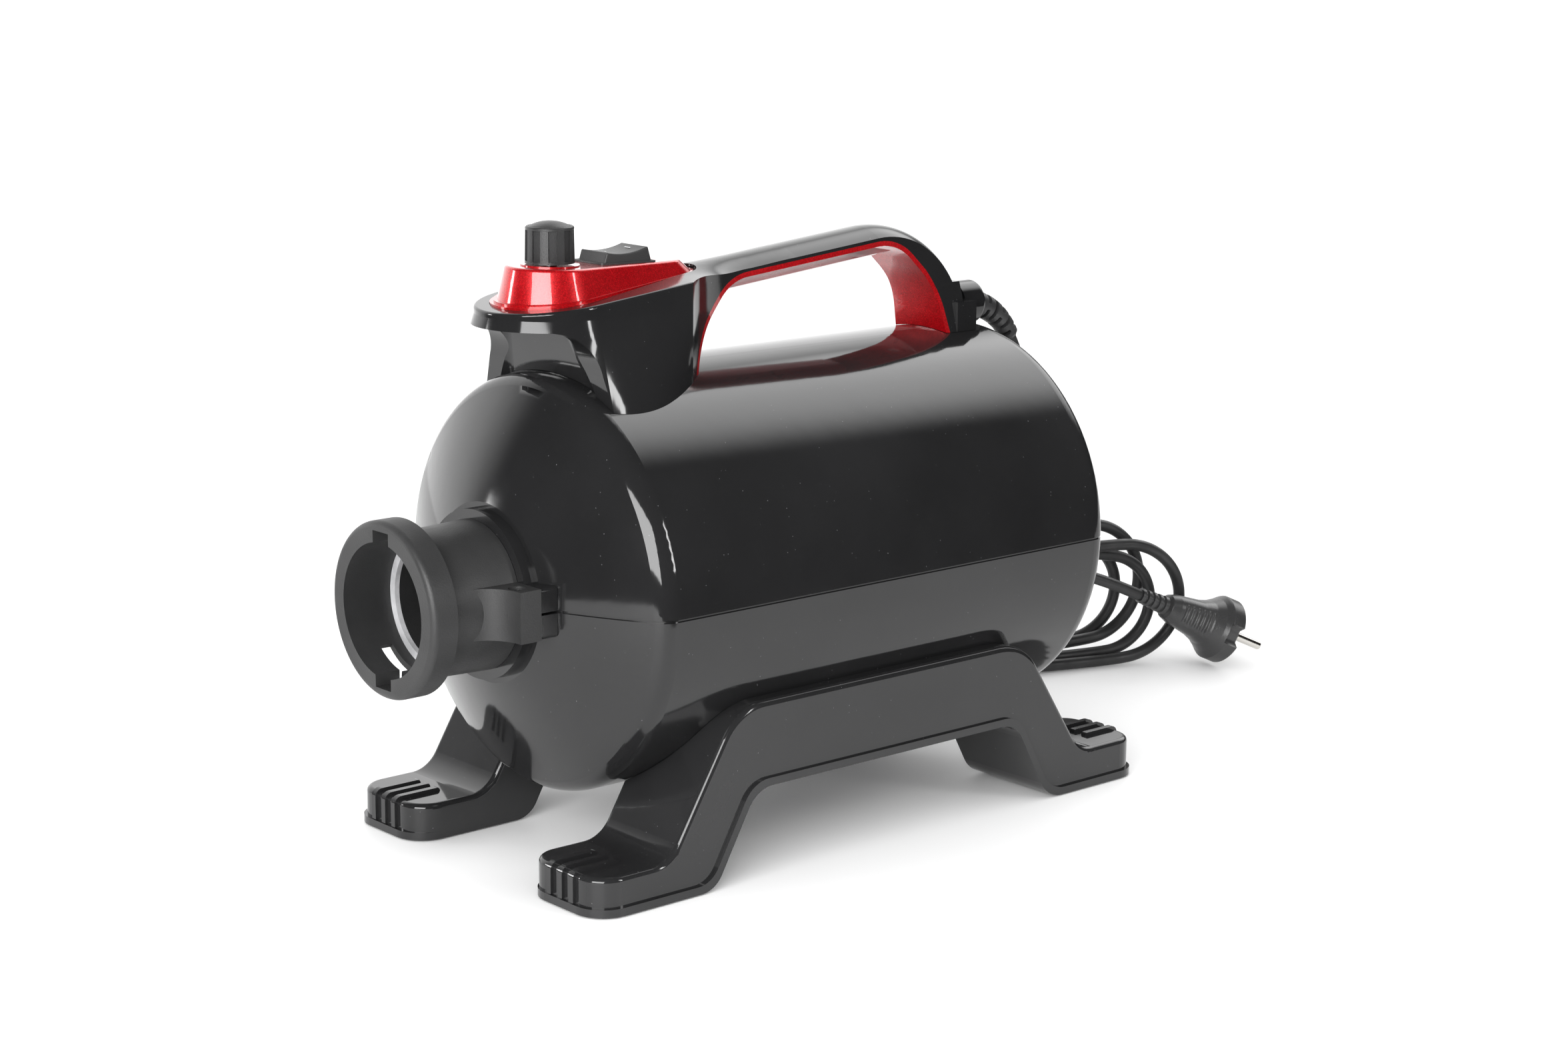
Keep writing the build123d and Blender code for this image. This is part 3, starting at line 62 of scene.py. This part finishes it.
CAMERA_PLACE = (1.0399, -0.8777, 0.4329)
CAMERA_AZIMUTH, CAMERA_ELEVATION, CAMERA_ROLL = 48.66, 12.14, 0.49
SENSOR_WIDTH, LENS = 36, 67.21


def make_camera():
    """A long lens at the front right, a little above the dryer and rolled by half a degree."""
    azimuth, elevation, roll = (
        math.radians(angle) for angle in (CAMERA_AZIMUTH, CAMERA_ELEVATION, CAMERA_ROLL)
    )
    right = Vector((math.cos(azimuth), math.sin(azimuth), 0))
    back = toward(azimuth, elevation)
    up = back.cross(right)
    turned_right = right * math.cos(roll) + up * math.sin(roll)
    turned_up = back.cross(turned_right)
    rotation = Matrix((turned_right, turned_up, back)).transposed()
    data = bpy.data.cameras.new("camera")
    data.sensor_width = SENSOR_WIDTH
    data.lens = LENS
    camera = bpy.data.objects.new("camera", data)
    camera.matrix_world = Matrix.Translation(CAMERA_PLACE) @ rotation.to_4x4()
    bpy.context.scene.collection.objects.link(camera)
    bpy.context.scene.camera = camera


make_camera()

# ---------------------------------------------------------------- cord
CORD_D = 0.0066
FLOOR_CLEAR = CORD_D / 2 + 0.0002
RELIEF_END = Vector((0, 0.18964, 0.2121))
FIRST_RUN, RELIEF_TURN = 0.025, math.radians(60)
DROP = [
    RELIEF_END,
    RELIEF_END + FIRST_RUN * Vector((0, math.cos(RELIEF_TURN), -math.sin(RELIEF_TURN))),
    Vector((-0.004, 0.212, 0.160)), Vector((-0.014, 0.216, 0.125)), Vector((-0.036, 0.230, 0.103)),
    Vector((-0.063, 0.251, 0.093)),
]
LEAD = [
    Vector((-0.0715, 0.2780, 0.0680)), Vector((-0.0575, 0.2958, 0.0640)), Vector((-0.0484, 0.3143, 0.0571)),
    Vector((-0.0436, 0.3287, 0.0511)), Vector((-0.0394, 0.3412, 0.0450)),
]
# The hank stands on its edge behind the dryer: s runs along it, n across it, towards the camera.
HANK_ORIGIN = Vector((-0.050, 0.338, 0))
HANK_ALONG, HANK_ACROSS = Vector((0.316, 0.949, 0)), Vector((0.949, -0.316, 0))
# Each turn: its right end's centre (s, z) and half axes, its left end's centre and half axes, and its n.
TURNS = [
    ((-0.020, 0.042), (0.031, 0.030), (-0.076, 0.041), (0.030, 0.031), -0.0284),
    ((-0.011, 0.0475), (0.0335, 0.0345), (-0.079, 0.044), (0.031, 0.034), -0.0216),
    ((-0.0035, 0.0355), (0.0300, 0.0290), (-0.074, 0.038), (0.032, 0.031), -0.0148),
    ((0.0035, 0.0375), (0.0385, 0.0345), (-0.078, 0.040), (0.032, 0.0355), -0.0080),
]
# Of a turn's right and left ends: control points, degrees where they start (mirrored) and that they
# sweep, and how far their half axis is stretched outwards.
RIGHT_POINTS, LEFT_POINTS = 8, 7
END_START, RIGHT_SWEEP, LEFT_SWEEP = 92, 184, 176
END_REACH = 1.03


def hank_point(s, z, n):
    """A point of the hank in the object's frame."""
    return HANK_ORIGIN + HANK_ALONG * s + HANK_ACROSS * n + Vector((0, 0, max(z, FLOOR_CLEAR)))


def hank_route():
    """The turns, each over the top to the right, round, and back along the floor to the left."""
    points = []
    for number, (right, right_half, left, left_half, layer) in enumerate(TURNS):
        following = TURNS[min(number + 1, len(TURNS) - 1)][4]
        for step in range(RIGHT_POINTS):
            angle = math.radians(END_START - RIGHT_SWEEP * step / (RIGHT_POINTS - 1))
            s = right[0] + right_half[0] * END_REACH * math.cos(angle)
            z = right[1] + right_half[1] * math.sin(angle)
            points.append(hank_point(s, z, layer))
        for step in range(LEFT_POINTS):
            share = step / (LEFT_POINTS - 1)
            angle = math.radians(-END_START - LEFT_SWEEP * share)
            s = left[0] + left_half[0] * END_REACH * math.cos(angle)
            z = left[1] + left_half[1] * math.sin(angle)
            points.append(hank_point(s, z, layer + (following - layer) * share))
    return points


def nurbs_curve(name, points, radius):
    """An open NURBS tube whose control points are the route's points."""
    data = bpy.data.curves.new(name, "CURVE")
    data.dimensions = "3D"
    data.resolution_u = 12
    data.bevel_depth = radius
    data.bevel_resolution = 6
    data.use_fill_caps = True
    spline = data.splines.new("NURBS")
    spline.points.add(len(points) - 1)
    for point, place in zip(spline.points, points):
        point.co = (*place, 1)
    spline.order_u = 3
    spline.use_endpoint_u = True
    piece = bpy.data.objects.new(name, data)
    bpy.context.scene.collection.objects.link(piece)
    return piece


lead = nurbs_curve("mains_lead", DROP + hank_route() + LEAD, CORD_D / 2)
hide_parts("power_cord", "cord_hank", "plug_lead")


# ---------------------------------------------------------------- soft and moulded pieces
def mesh_piece(name, bm, sharp_degrees=40):
    """Turns a bmesh into a smooth-shaded object, with edges over the angle left sharp."""
    bmesh.ops.recalc_face_normals(bm, faces=bm.faces)
    mesh = bpy.data.meshes.new(name)
    bm.to_mesh(mesh)
    bm.free()
    piece = bpy.data.objects.new(name, mesh)
    bpy.context.scene.collection.objects.link(piece)
    mesh.shade_smooth()
    mesh.set_sharp_from_angle(angle=math.radians(sharp_degrees))
    return piece


def skin(name, rings, sharp_degrees):
    """Joins closed rings of points, all with the same count, into a capped body."""
    bm = bmesh.new()
    loops = [[bm.verts.new(point) for point in ring] for ring in rings]
    for first, second in zip(loops, loops[1:]):
        for i in range(len(first)):
            j = (i + 1) % len(first)
            bm.faces.new((first[i], first[j], second[j], second[i]))
    bm.faces.new(loops[0])
    bm.faces.new(reversed(loops[-1]))
    return mesh_piece(name, bm, sharp_degrees)


def smooth_step(value, low, high):
    """Rises from 0 at low to 1 at high, level at both."""
    share = min(max((value - low) / (high - low), 0), 1)
    return share * share * (3 - 2 * share)


RELIEF_START, RELIEF_BEND_R = Vector((0, 0.155, 0.2321)), 0.040
BOOT_SIDES, BOOT_STEPS = 48, 220
BOOT_R, BOOT_TAPER, BOOT_END_ROUND = 0.0071, 0.0021, 0.0012
BOOT_FIRST_SLOT, BOOT_PITCH, BOOT_SLOT_DEPTH = 0.0075, 0.0056, 0.0021
BOOT_PLAIN_END, BOOT_ROUND_LENGTH = 0.0035, 0.0022
SLOT_FALLS, SLOT_RISES = (0.0, 0.10), (0.36, 0.46)  # shares of the pitch
WEB_EDGE = (0.90, 0.97)  # sines where a slot runs out into a web


def make_boot():
    """Ribbed strain relief: rings with slots between them, in a taper that follows the bend."""
    arc_length = RELIEF_BEND_R * RELIEF_TURN
    rings = []
    for step in range(BOOT_STEPS + 1):
        along = arc_length * step / BOOT_STEPS
        turn = along / RELIEF_BEND_R
        centre = RELIEF_START + RELIEF_BEND_R * Vector((0, math.sin(turn), math.cos(turn) - 1))
        outward = Vector((0, math.sin(turn), math.cos(turn)))
        radius = BOOT_R - BOOT_TAPER * along / arc_length
        in_ribs = BOOT_FIRST_SLOT < along < arc_length - BOOT_PLAIN_END
        phase = ((along - BOOT_FIRST_SLOT) / BOOT_PITCH) % 1.0
        slot = smooth_step(phase, *SLOT_FALLS) * (1 - smooth_step(phase, *SLOT_RISES)) if in_ribs else 0
        end = smooth_step(along, arc_length - BOOT_ROUND_LENGTH, arc_length)
        number = int((along - BOOT_FIRST_SLOT) / BOOT_PITCH)
        ring = []
        for side in range(BOOT_SIDES):
            angle = math.tau * side / BOOT_SIDES
            # The slots stop at two webs, which change sides from one slot to the next.
            across = math.cos(angle) if number % 2 else math.sin(angle)
            depth = BOOT_SLOT_DEPTH * slot * (1 - smooth_step(abs(across), *WEB_EDGE))
            reach = radius - depth - BOOT_END_ROUND * end
            ring.append(centre + reach * (math.cos(angle) * Vector((1, 0, 0)) + math.sin(angle) * outward))
        rings.append(ring)
    return skin("cord_boot", rings, sharp_degrees=55)


boot = make_boot()
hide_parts("strain_relief")

PLUG_START = LEAD[-1]
PLUG_AXIS = (LEAD[-1] - LEAD[-2]).normalized()
PLUG_SIDEWAYS = Vector((0.87, -0.29, 0))
PLUG_LATERAL = (PLUG_SIDEWAYS - PLUG_SIDEWAYS.dot(PLUG_AXIS) * PLUG_AXIS).normalized()
PLUG_UP = PLUG_AXIS.cross(PLUG_LATERAL)
# Along the plug, in mm: distance, half width, half height, and squareness of the section.
PLUG_SECTIONS = [
    (0.0, 4.3, 4.3, 2.0), (18, 5.4, 5.4, 2.0), (19, 7.6, 7.0, 2.2), (24, 9.2, 8.6, 2.4), (32, 10.6, 9.8, 2.6),
    (40, 12.2, 11.0, 2.6), (46, 14.0, 13.0, 2.4), (51, 16.6, 16.2, 2.1), (53.6, 18.4, 18.4, 2.0),
    (54.6, 19.0, 19.0, 2.0), (62.2, 19.0, 19.0, 2.0), (63.0, 18.2, 18.2, 2.0),
]
PLUG_RIBS_END, PLUG_RIB_PITCH, PLUG_RIB_GROOVE = 17.0, 3.9, 1.3
RIB_FALLS, RIB_RISES = (0.50, 0.60), (0.90, 1.0)  # shares of the pitch
PLUG_SIDES, PLUG_STEP = 96, 0.3
FINGER_START, FINGER_PITCH, FINGER_DEPTH, FINGER_FLAT = 26, 3.4, 1.0, (0.80, 0.94)
GRIP_STARTS, GRIP_ENDS, FLANGE_STARTS = (25, 27), (43, 46), (53.5, 54.5)
NOTCH_DEPTH, NOTCH_EDGE = 4.4, (0.950, 0.970)


def plug_section(along):
    """Half width, half height and squareness at a distance along the plug."""
    for (a, wa, ha, pa), (b, wb, hb, pb) in zip(PLUG_SECTIONS, PLUG_SECTIONS[1:]):
        if along <= b:
            share = (along - a) / (b - a)
            return wa + (wb - wa) * share, ha + (hb - ha) * share, pa + (pb - pa) * share
    return PLUG_SECTIONS[-1][1:]


def make_plug():
    """Moulded plug: a ribbed neck, a squarish grip with finger grooves, and a round face with two notches."""
    rings = []
    plug_end = PLUG_SECTIONS[-1][0]
    stations = [i * PLUG_STEP for i in range(round(plug_end / PLUG_STEP))] + [plug_end]
    for along in stations:
        half_w, half_h, power = plug_section(along)
        if along < PLUG_RIBS_END:
            phase = (along / PLUG_RIB_PITCH) % 1.0
            groove = PLUG_RIB_GROOVE * smooth_step(phase, *RIB_FALLS) * (1 - smooth_step(phase, *RIB_RISES))
        else:
            groove = 0
        grip = smooth_step(along, *GRIP_STARTS) * (1 - smooth_step(along, *GRIP_ENDS))
        wave = 0.5 - 0.5 * math.cos(math.tau * (along - FINGER_START) / FINGER_PITCH)
        finger = FINGER_DEPTH * grip * wave
        flange = smooth_step(along, *FLANGE_STARTS)
        ring = []
        for side in range(PLUG_SIDES):
            angle = math.tau * side / PLUG_SIDES
            c, s = math.cos(angle), math.sin(angle)
            reach = (abs(c / half_w) ** power + abs(s / half_h) ** power) ** (-1 / power)
            flat = smooth_step(abs(c), *FINGER_FLAT)
            notch = NOTCH_DEPTH * flange * smooth_step(abs(c), *NOTCH_EDGE)
            reach -= groove + finger * flat + notch
            ring.append(
                PLUG_START + MM * (along * PLUG_AXIS + reach * (c * PLUG_LATERAL + s * PLUG_UP))
            )
        rings.append(ring)
    return skin("plug_moulding", rings, sharp_degrees=50)


plug = make_plug()
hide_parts("plug_body")

ROCKER_LOW, ROCKER_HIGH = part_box("switch_rocker")
MARK_RAISE, MARK_LINE, MARK_R, MARK_POINTS = 0.0002, 0.0007, 0.0021, 32
MARK_PLACE = 0.27  # share of the rocker's length from its middle to each mark


def make_rocker_marks():
    """Printed bar and ring on the rocker's two ends, laid on its hollow top by a downward ray."""
    rocker = nodes["switch_rocker"]
    middle = [(low + high) / 2 for low, high in zip(ROCKER_LOW, ROCKER_HIGH)]
    reach = (ROCKER_HIGH[1] - ROCKER_LOW[1]) * MARK_PLACE
    bm = bmesh.new()

    def on_top(x, y):
        hit, place, _, _ = rocker.ray_cast(Vector((x, y, ROCKER_HIGH[2] + 0.01)), Vector((0, 0, -1)))
        return (place if hit else Vector((x, y, ROCKER_HIGH[2]))) + Vector((0, 0, MARK_RAISE))

    def strip(inner, outer, closed):
        rims = [[bm.verts.new(on_top(x, y)) for x, y in rim] for rim in (inner, outer)]
        count = len(inner)
        for i in range(count if closed else count - 1):
            j = (i + 1) % count
            bm.faces.new((rims[0][i], rims[0][j], rims[1][j], rims[1][i]))

    def circle(radius):
        turns = [math.tau * i / MARK_POINTS for i in range(MARK_POINTS)]
        return [(middle[0] + radius * math.cos(turn), ring_y + radius * math.sin(turn)) for turn in turns]

    ring_y, bar_y = middle[1] - reach, middle[1] + reach
    strip(circle(MARK_R), circle(MARK_R - MARK_LINE), True)
    spans = [middle[0] + MARK_R * (i / 4 - 1) for i in range(9)]
    strip([(x, bar_y - MARK_LINE / 2) for x in spans], [(x, bar_y + MARK_LINE / 2) for x in spans], False)
    return mesh_piece("rocker_marks", bm)


marks = make_rocker_marks()


# ---------------------------------------------------------------- materials
class Shader:
    """A small helper that builds one node material."""

    def __init__(self, name):
        self.material = bpy.data.materials.new(name)
        self.material.use_nodes = True
        self.tree = self.material.node_tree
        self.bsdf = self.tree.nodes["Principled BSDF"]
        self.place = self.add("ShaderNodeTexCoord").outputs["Object"]

    def add(self, kind, **settings):
        node = self.tree.nodes.new(kind)
        for key, value in settings.items():
            setattr(node, key, value)
        return node

    def link(self, output, socket):
        self.tree.links.new(output, socket)

    def noise(self, scale, detail, stretch=None):
        node = self.add("ShaderNodeTexNoise")
        node.inputs["Scale"].default_value = scale
        node.inputs["Detail"].default_value = detail
        if stretch:
            mapping = self.add("ShaderNodeMapping")
            mapping.inputs["Scale"].default_value = stretch
            self.link(self.place, mapping.inputs["Vector"])
            self.link(mapping.outputs["Vector"], node.inputs["Vector"])
        else:
            self.link(self.place, node.inputs["Vector"])
        return node.outputs["Fac"]

    def cells(self, scale):
        node = self.add("ShaderNodeTexVoronoi")
        node.inputs["Scale"].default_value = scale
        self.link(self.place, node.inputs["Vector"])
        return node

    def ramp(self, factor, stops):
        """A colour ramp; each stop is (position, colour or grey)."""
        node = self.add("ShaderNodeValToRGB")
        elements = node.color_ramp.elements
        while len(elements) < len(stops):
            elements.new(0.5)
        for element, (position, colour) in zip(elements, stops):
            element.position = position
            element.color = (*colour, 1) if isinstance(colour, tuple) else (colour, colour, colour, 1)
        self.link(factor, node.inputs["Fac"])
        return node.outputs["Color"]

    def scale_range(self, factor, low, high, from_low=0.0, from_high=1.0):
        node = self.add("ShaderNodeMapRange")
        node.inputs["From Min"].default_value = from_low
        node.inputs["From Max"].default_value = from_high
        node.inputs["To Min"].default_value = low
        node.inputs["To Max"].default_value = high
        self.link(factor, node.inputs["Value"])
        return node.outputs["Result"]

    def bump(self, height, distance):
        node = self.add("ShaderNodeBump")
        node.inputs["Distance"].default_value = distance
        node.inputs["Strength"].default_value = 1.0
        self.link(height, node.inputs["Height"])
        self.link(node.outputs["Normal"], self.bsdf.inputs["Normal"])

    def set(self, **values):
        for key, value in values.items():
            self.bsdf.inputs[key.replace("_", " ")].default_value = value


def gloss_black(name, base=0.010):
    """Piano-black moulded plastic: near-mirror, with faint ripple, handling haze and fine dust."""
    shader = Shader(name)
    haze = shader.noise(14, 4)
    tint = shader.ramp(haze, [
        (0.3, (base, base, base * 1.03)), (0.75, (base * 1.5, base * 1.5, base * 1.55))
    ])
    specks = shader.cells(420)
    dust = shader.ramp(specks.outputs["Distance"], [(0.03, 1.0), (0.09, 0.0)])
    rare = shader.ramp(specks.outputs["Color"], [(0.66, 0.0), (0.90, 0.8)])
    both = shader.add("ShaderNodeMix", data_type="RGBA", blend_type="MULTIPLY")
    both.inputs["Factor"].default_value = 1.0
    shader.link(dust, both.inputs["A"])
    shader.link(rare, both.inputs["B"])
    mix = shader.add("ShaderNodeMix", data_type="RGBA")
    shader.link(both.outputs["Result"], mix.inputs["Factor"])
    shader.link(tint, mix.inputs["A"])
    mix.inputs["B"].default_value = (0.30, 0.30, 0.31, 1)
    shader.link(mix.outputs["Result"], shader.bsdf.inputs["Base Color"])
    smudges = shader.scale_range(shader.noise(9, 5), 0.055, 0.13, 0.3, 0.75)
    shader.link(smudges, shader.bsdf.inputs["Roughness"])
    shader.bump(shader.noise(60, 2), 0.00004)
    shader.set(IOR=1.5)
    return shader.material


def satin_black(name, base=0.026, rough=(0.40, 0.58), grain=1500, depth=0.00006):
    """Satin moulded plastic with a fine spark-eroded grain and slightly worn patches."""
    shader = Shader(name)
    wear = shader.noise(22, 5)
    shader.link(
        shader.ramp(wear, [
            (0.3, (base * 0.8, base * 0.8, base * 0.82)), (0.7, (base * 1.35, base * 1.35, base * 1.36))
        ]),
        shader.bsdf.inputs["Base Color"],
    )
    roughness = shader.scale_range(shader.noise(35, 4), rough[0], rough[1], 0.3, 0.7)
    shader.link(roughness, shader.bsdf.inputs["Roughness"])
    shader.bump(shader.noise(grain, 3), depth)
    shader.set(IOR=1.5)
    return shader.material


def red_metallic(name):
    """Candy red lacquer over fine metal flake, under a clear coat."""
    shader = Shader(name)
    flake = shader.cells(2600)
    colour = shader.ramp(flake.outputs["Color"], [
        (0.15, (0.30, 0.001, 0.003)), (0.6, (0.46, 0.001, 0.005)), (0.95, (0.66, 0.006, 0.012))
    ])
    shader.link(colour, shader.bsdf.inputs["Base Color"])
    roughness = shader.scale_range(shader.noise(40, 3), 0.26, 0.36, 0.3, 0.7)
    shader.link(roughness, shader.bsdf.inputs["Roughness"])
    shader.bump(shader.noise(1800, 1), 0.00002)
    shader.set(Metallic=0.50, Coat_Weight=1.0, Coat_Roughness=0.03, Coat_IOR=1.5)
    return shader.material


BRUSHED = (1, 60, 1)


def metal(name, base, rough=(0.2, 0.35)):
    """Plated or turned metal with fine tool lines."""
    shader = Shader(name)
    lines = shader.noise(400, 2, stretch=BRUSHED)
    tint = shader.ramp(lines, [(0.3, tuple(c * 0.85 for c in base)), (0.7, base)])
    shader.link(tint, shader.bsdf.inputs["Base Color"])
    shader.link(shader.scale_range(lines, rough[0], rough[1]), shader.bsdf.inputs["Roughness"])
    shader.bump(lines, 0.00001)
    shader.set(Metallic=1.0)
    return shader.material


def rubber(name, base=0.02, grain=900):
    """Moulded rubber or cord jacket: soft sheen, fine skin, a little dust."""
    shader = Shader(name)
    dust = shader.noise(55, 6)
    shader.link(
        shader.ramp(dust, [
            (0.35, (base * 0.8, base * 0.8, base * 0.82)), (0.8, (base * 1.9, base * 1.9, base * 1.95))
        ]),
        shader.bsdf.inputs["Base Color"],
    )
    roughness = shader.scale_range(shader.noise(120, 4), 0.36, 0.56, 0.3, 0.7)
    shader.link(roughness, shader.bsdf.inputs["Roughness"])
    shader.bump(shader.noise(grain, 3), 0.00006)
    return shader.material


def foam(name, base):
    """Open-cell foam: pores dented by a bump, with painted shade that darkens each pore towards its middle.
    """
    shader = Shader(name)
    pores_and_pore_shade = shader.cells(900)
    # Painted shade: the base colour falls to a quarter of the foam's grey in the middle of each pore, where
    # the dents are.
    shader.link(
        shader.ramp(pores_and_pore_shade.outputs["Distance"], [(0.1, tuple(c * 0.25 for c in base)), (0.6, base)]),
        shader.bsdf.inputs["Base Color"],
    )
    shader.set(Roughness=0.95)
    shader.bump(pores_and_pore_shade.outputs["Distance"], 0.0006)
    return shader.material


def pcb(name):
    """Green solder resist with faint copper tracks."""
    shader = Shader(name)
    tracks = shader.add("ShaderNodeTexWave", wave_type="BANDS")
    tracks.inputs["Scale"].default_value = 160
    tracks.inputs["Distortion"].default_value = 6
    shader.link(shader.place, tracks.inputs["Vector"])
    shader.link(
        shader.ramp(tracks.outputs["Fac"], [(0.45, (0.006, 0.06, 0.02)), (0.6, (0.02, 0.14, 0.05))]),
        shader.bsdf.inputs["Base Color"],
    )
    shader.set(Roughness=0.35)
    return shader.material


MATERIALS = {
    "shell_gloss": gloss_black("shell gloss black"),
    "rail_gloss": gloss_black("rail gloss black", 0.012),
    "pod_gloss": gloss_black("pod gloss black", 0.009),
    "collar_matte": satin_black("coupling satin", 0.020, (0.40, 0.58), 1300, 0.00009),
    "red_metallic": red_metallic("red metallic"),
    "knob_grey": satin_black("knob satin", 0.022, (0.30, 0.44), 1600),
    "rocker_black": satin_black("rocker satin", 0.026, (0.32, 0.46), 1800),
    "seal_grey": rubber("seal light grey", 0.42),
    "duct_dark": satin_black("duct dark", 0.012, (0.5, 0.7)),
    "rubber_dark": rubber("rubber feet", 0.018),
    "cord_black": rubber("cord jacket", 0.016, 1400),
    "plug_black": satin_black("plug satin", 0.030, (0.24, 0.38), 1500),
    "pin_nickel": metal("pin nickel", (0.72, 0.70, 0.66), (0.12, 0.22)),
    "screw_steel": metal("screw zinc", (0.30, 0.30, 0.31)),
    "steel": metal("turned steel", (0.45, 0.45, 0.46)),
    "motor_steel": metal("motor can", (0.55, 0.55, 0.55)),
    "copper": metal("copper winding", (0.60, 0.24, 0.10)),
    "fan_alloy": metal("fan alloy", (0.65, 0.65, 0.66)),
    "housing_grey": satin_black("inner moulding", 0.10, (0.5, 0.7)),
    "foam_grey": foam("filter foam", (0.07, 0.07, 0.07)),
    "board_green": pcb("circuit board"),
    "mark_white": satin_black("mark print", 0.62, (0.45, 0.6)),
    "cover_black": satin_black("intake cover satin", 0.022, (0.36, 0.52), 1300),
}
NODE_SLOT = {entry["node"]: entry["material_slot"] for entry in record["subparts"]}
for node_name, node in nodes.items():
    node.data.materials.clear()
    node.data.materials.append(MATERIALS[NODE_SLOT[node_name]])


def finish_piece(piece, slot, body="housing"):
    """Gives a piece its material and the body that it rides on."""
    piece.data.materials.clear()
    piece.data.materials.append(MATERIALS[slot])
    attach(piece, body)


finish_piece(lead, "cord_black")
finish_piece(boot, "rubber_dark")
finish_piece(plug, "plug_black")
finish_piece(marks, "mark_white", "rocker")


# ---------------------------------------------------------------- studio
AMBIENT = 1.22
FLOOR_LEFT, FLOOR_RIGHT, FLOOR_FRONT, FLOOR_REAR, FLOOR_CORNER = -1.6, 0.52, -0.95, 2.4, 0.25
CORNER_STEPS = 12
# Bright parts of the surround that gloss sees: direction, cosines where it starts and is full, brightness
ABOVE_REAR = ((-0.198, 0.740, 0.643), 0.86, 0.99, 3.2)
LEFT_SIDE = ((-0.957, 0.208, 0.203), 0.62, 0.90, 1.6)
LIGHT_DISTANCE, LIGHT_TARGET = 1.8, (0, 0, 0.15)


def make_floor():
    """A pale table top with round corners, whose right edge ends near the dryer: gloss sees dark past it."""
    bm = bmesh.new()
    left, right = FLOOR_LEFT + FLOOR_CORNER, FLOOR_RIGHT - FLOOR_CORNER
    front, rear = FLOOR_FRONT + FLOOR_CORNER, FLOOR_REAR - FLOOR_CORNER
    rim = []
    for x, y, start in ((right, rear, 0), (left, rear, 90), (left, front, 180), (right, front, 270)):
        for step in range(CORNER_STEPS + 1):
            angle = math.radians(start + 90 * step / CORNER_STEPS)
            corner = FLOOR_CORNER * Vector((math.cos(angle), math.sin(angle), 0))
            rim.append(bm.verts.new(Vector((x, y, 0)) + corner))
    bm.faces.new(rim)
    floor = mesh_piece("floor", bm)
    shader = Shader("floor white")
    shader.link(shader.ramp(shader.noise(5, 4), [(0.3, 0.87), (0.7, 0.90)]), shader.bsdf.inputs["Base Color"])
    shader.set(Roughness=0.55)
    floor.data.materials.append(shader.material)


def softbox(name, azimuth, elevation, width, height, power):
    """A rectangular light that faces the dryer, at an azimuth and elevation in degrees."""
    direction = toward(math.radians(azimuth), math.radians(elevation))
    data = bpy.data.lights.new(name, "AREA")
    data.shape = "RECTANGLE"
    data.size, data.size_y, data.energy = width, height, power
    lamp = bpy.data.objects.new(name, data)
    bpy.context.scene.collection.objects.link(lamp)
    place = Vector(LIGHT_TARGET) + LIGHT_DISTANCE * direction
    lamp.matrix_world = Matrix.Translation(place) @ direction.to_track_quat("Z", "Y").to_matrix().to_4x4()


def make_world():
    """White surround for the eye; gloss sees it bright above the rear and at the left, else dark."""
    world = bpy.data.worlds.new("studio")
    world.use_nodes = True
    bpy.context.scene.world = world
    tree = world.node_tree
    background = tree.nodes["Background"]
    coordinates = tree.nodes.new("ShaderNodeTexCoord")

    def lobe(middle, start, full, strength):
        """Brightness that rises from nothing to strength as a direction nears the middle."""
        turn = tree.nodes.new("ShaderNodeVectorMath")
        turn.operation = "DOT_PRODUCT"
        turn.inputs[1].default_value = middle
        spread = tree.nodes.new("ShaderNodeMapRange")
        spread.interpolation_type = "SMOOTHSTEP"
        spread.inputs["From Min"].default_value = start
        spread.inputs["From Max"].default_value = full
        spread.inputs["To Max"].default_value = strength
        tree.links.new(coordinates.outputs["Generated"], turn.inputs[0])
        tree.links.new(turn.outputs["Value"], spread.inputs["Value"])
        return spread.outputs["Result"]

    path = tree.nodes.new("ShaderNodeLightPath")
    both = tree.nodes.new("ShaderNodeMath")
    both.operation = "MAXIMUM"
    tree.links.new(lobe(*ABOVE_REAR), both.inputs[0])
    tree.links.new(lobe(*LEFT_SIDE), both.inputs[1])
    seen = tree.nodes.new("ShaderNodeMix")
    seen.inputs["A"].default_value = AMBIENT
    tree.links.new(path.outputs["Is Glossy Ray"], seen.inputs["Factor"])
    tree.links.new(both.outputs["Value"], seen.inputs["B"])
    tree.links.new(seen.outputs["Result"], background.inputs["Strength"])
    background.inputs["Color"].default_value = (1, 1, 1, 1)


make_floor()
make_world()
softbox("front softbox", 30, 16, 1.35, 0.85, 38)
softbox("side strip", 112, 20, 0.14, 0.75, 5)
softbox("left strip", -46, 9, 0.25, 0.32, 3.5)
bpy.context.scene.view_settings.view_transform = "Standard"
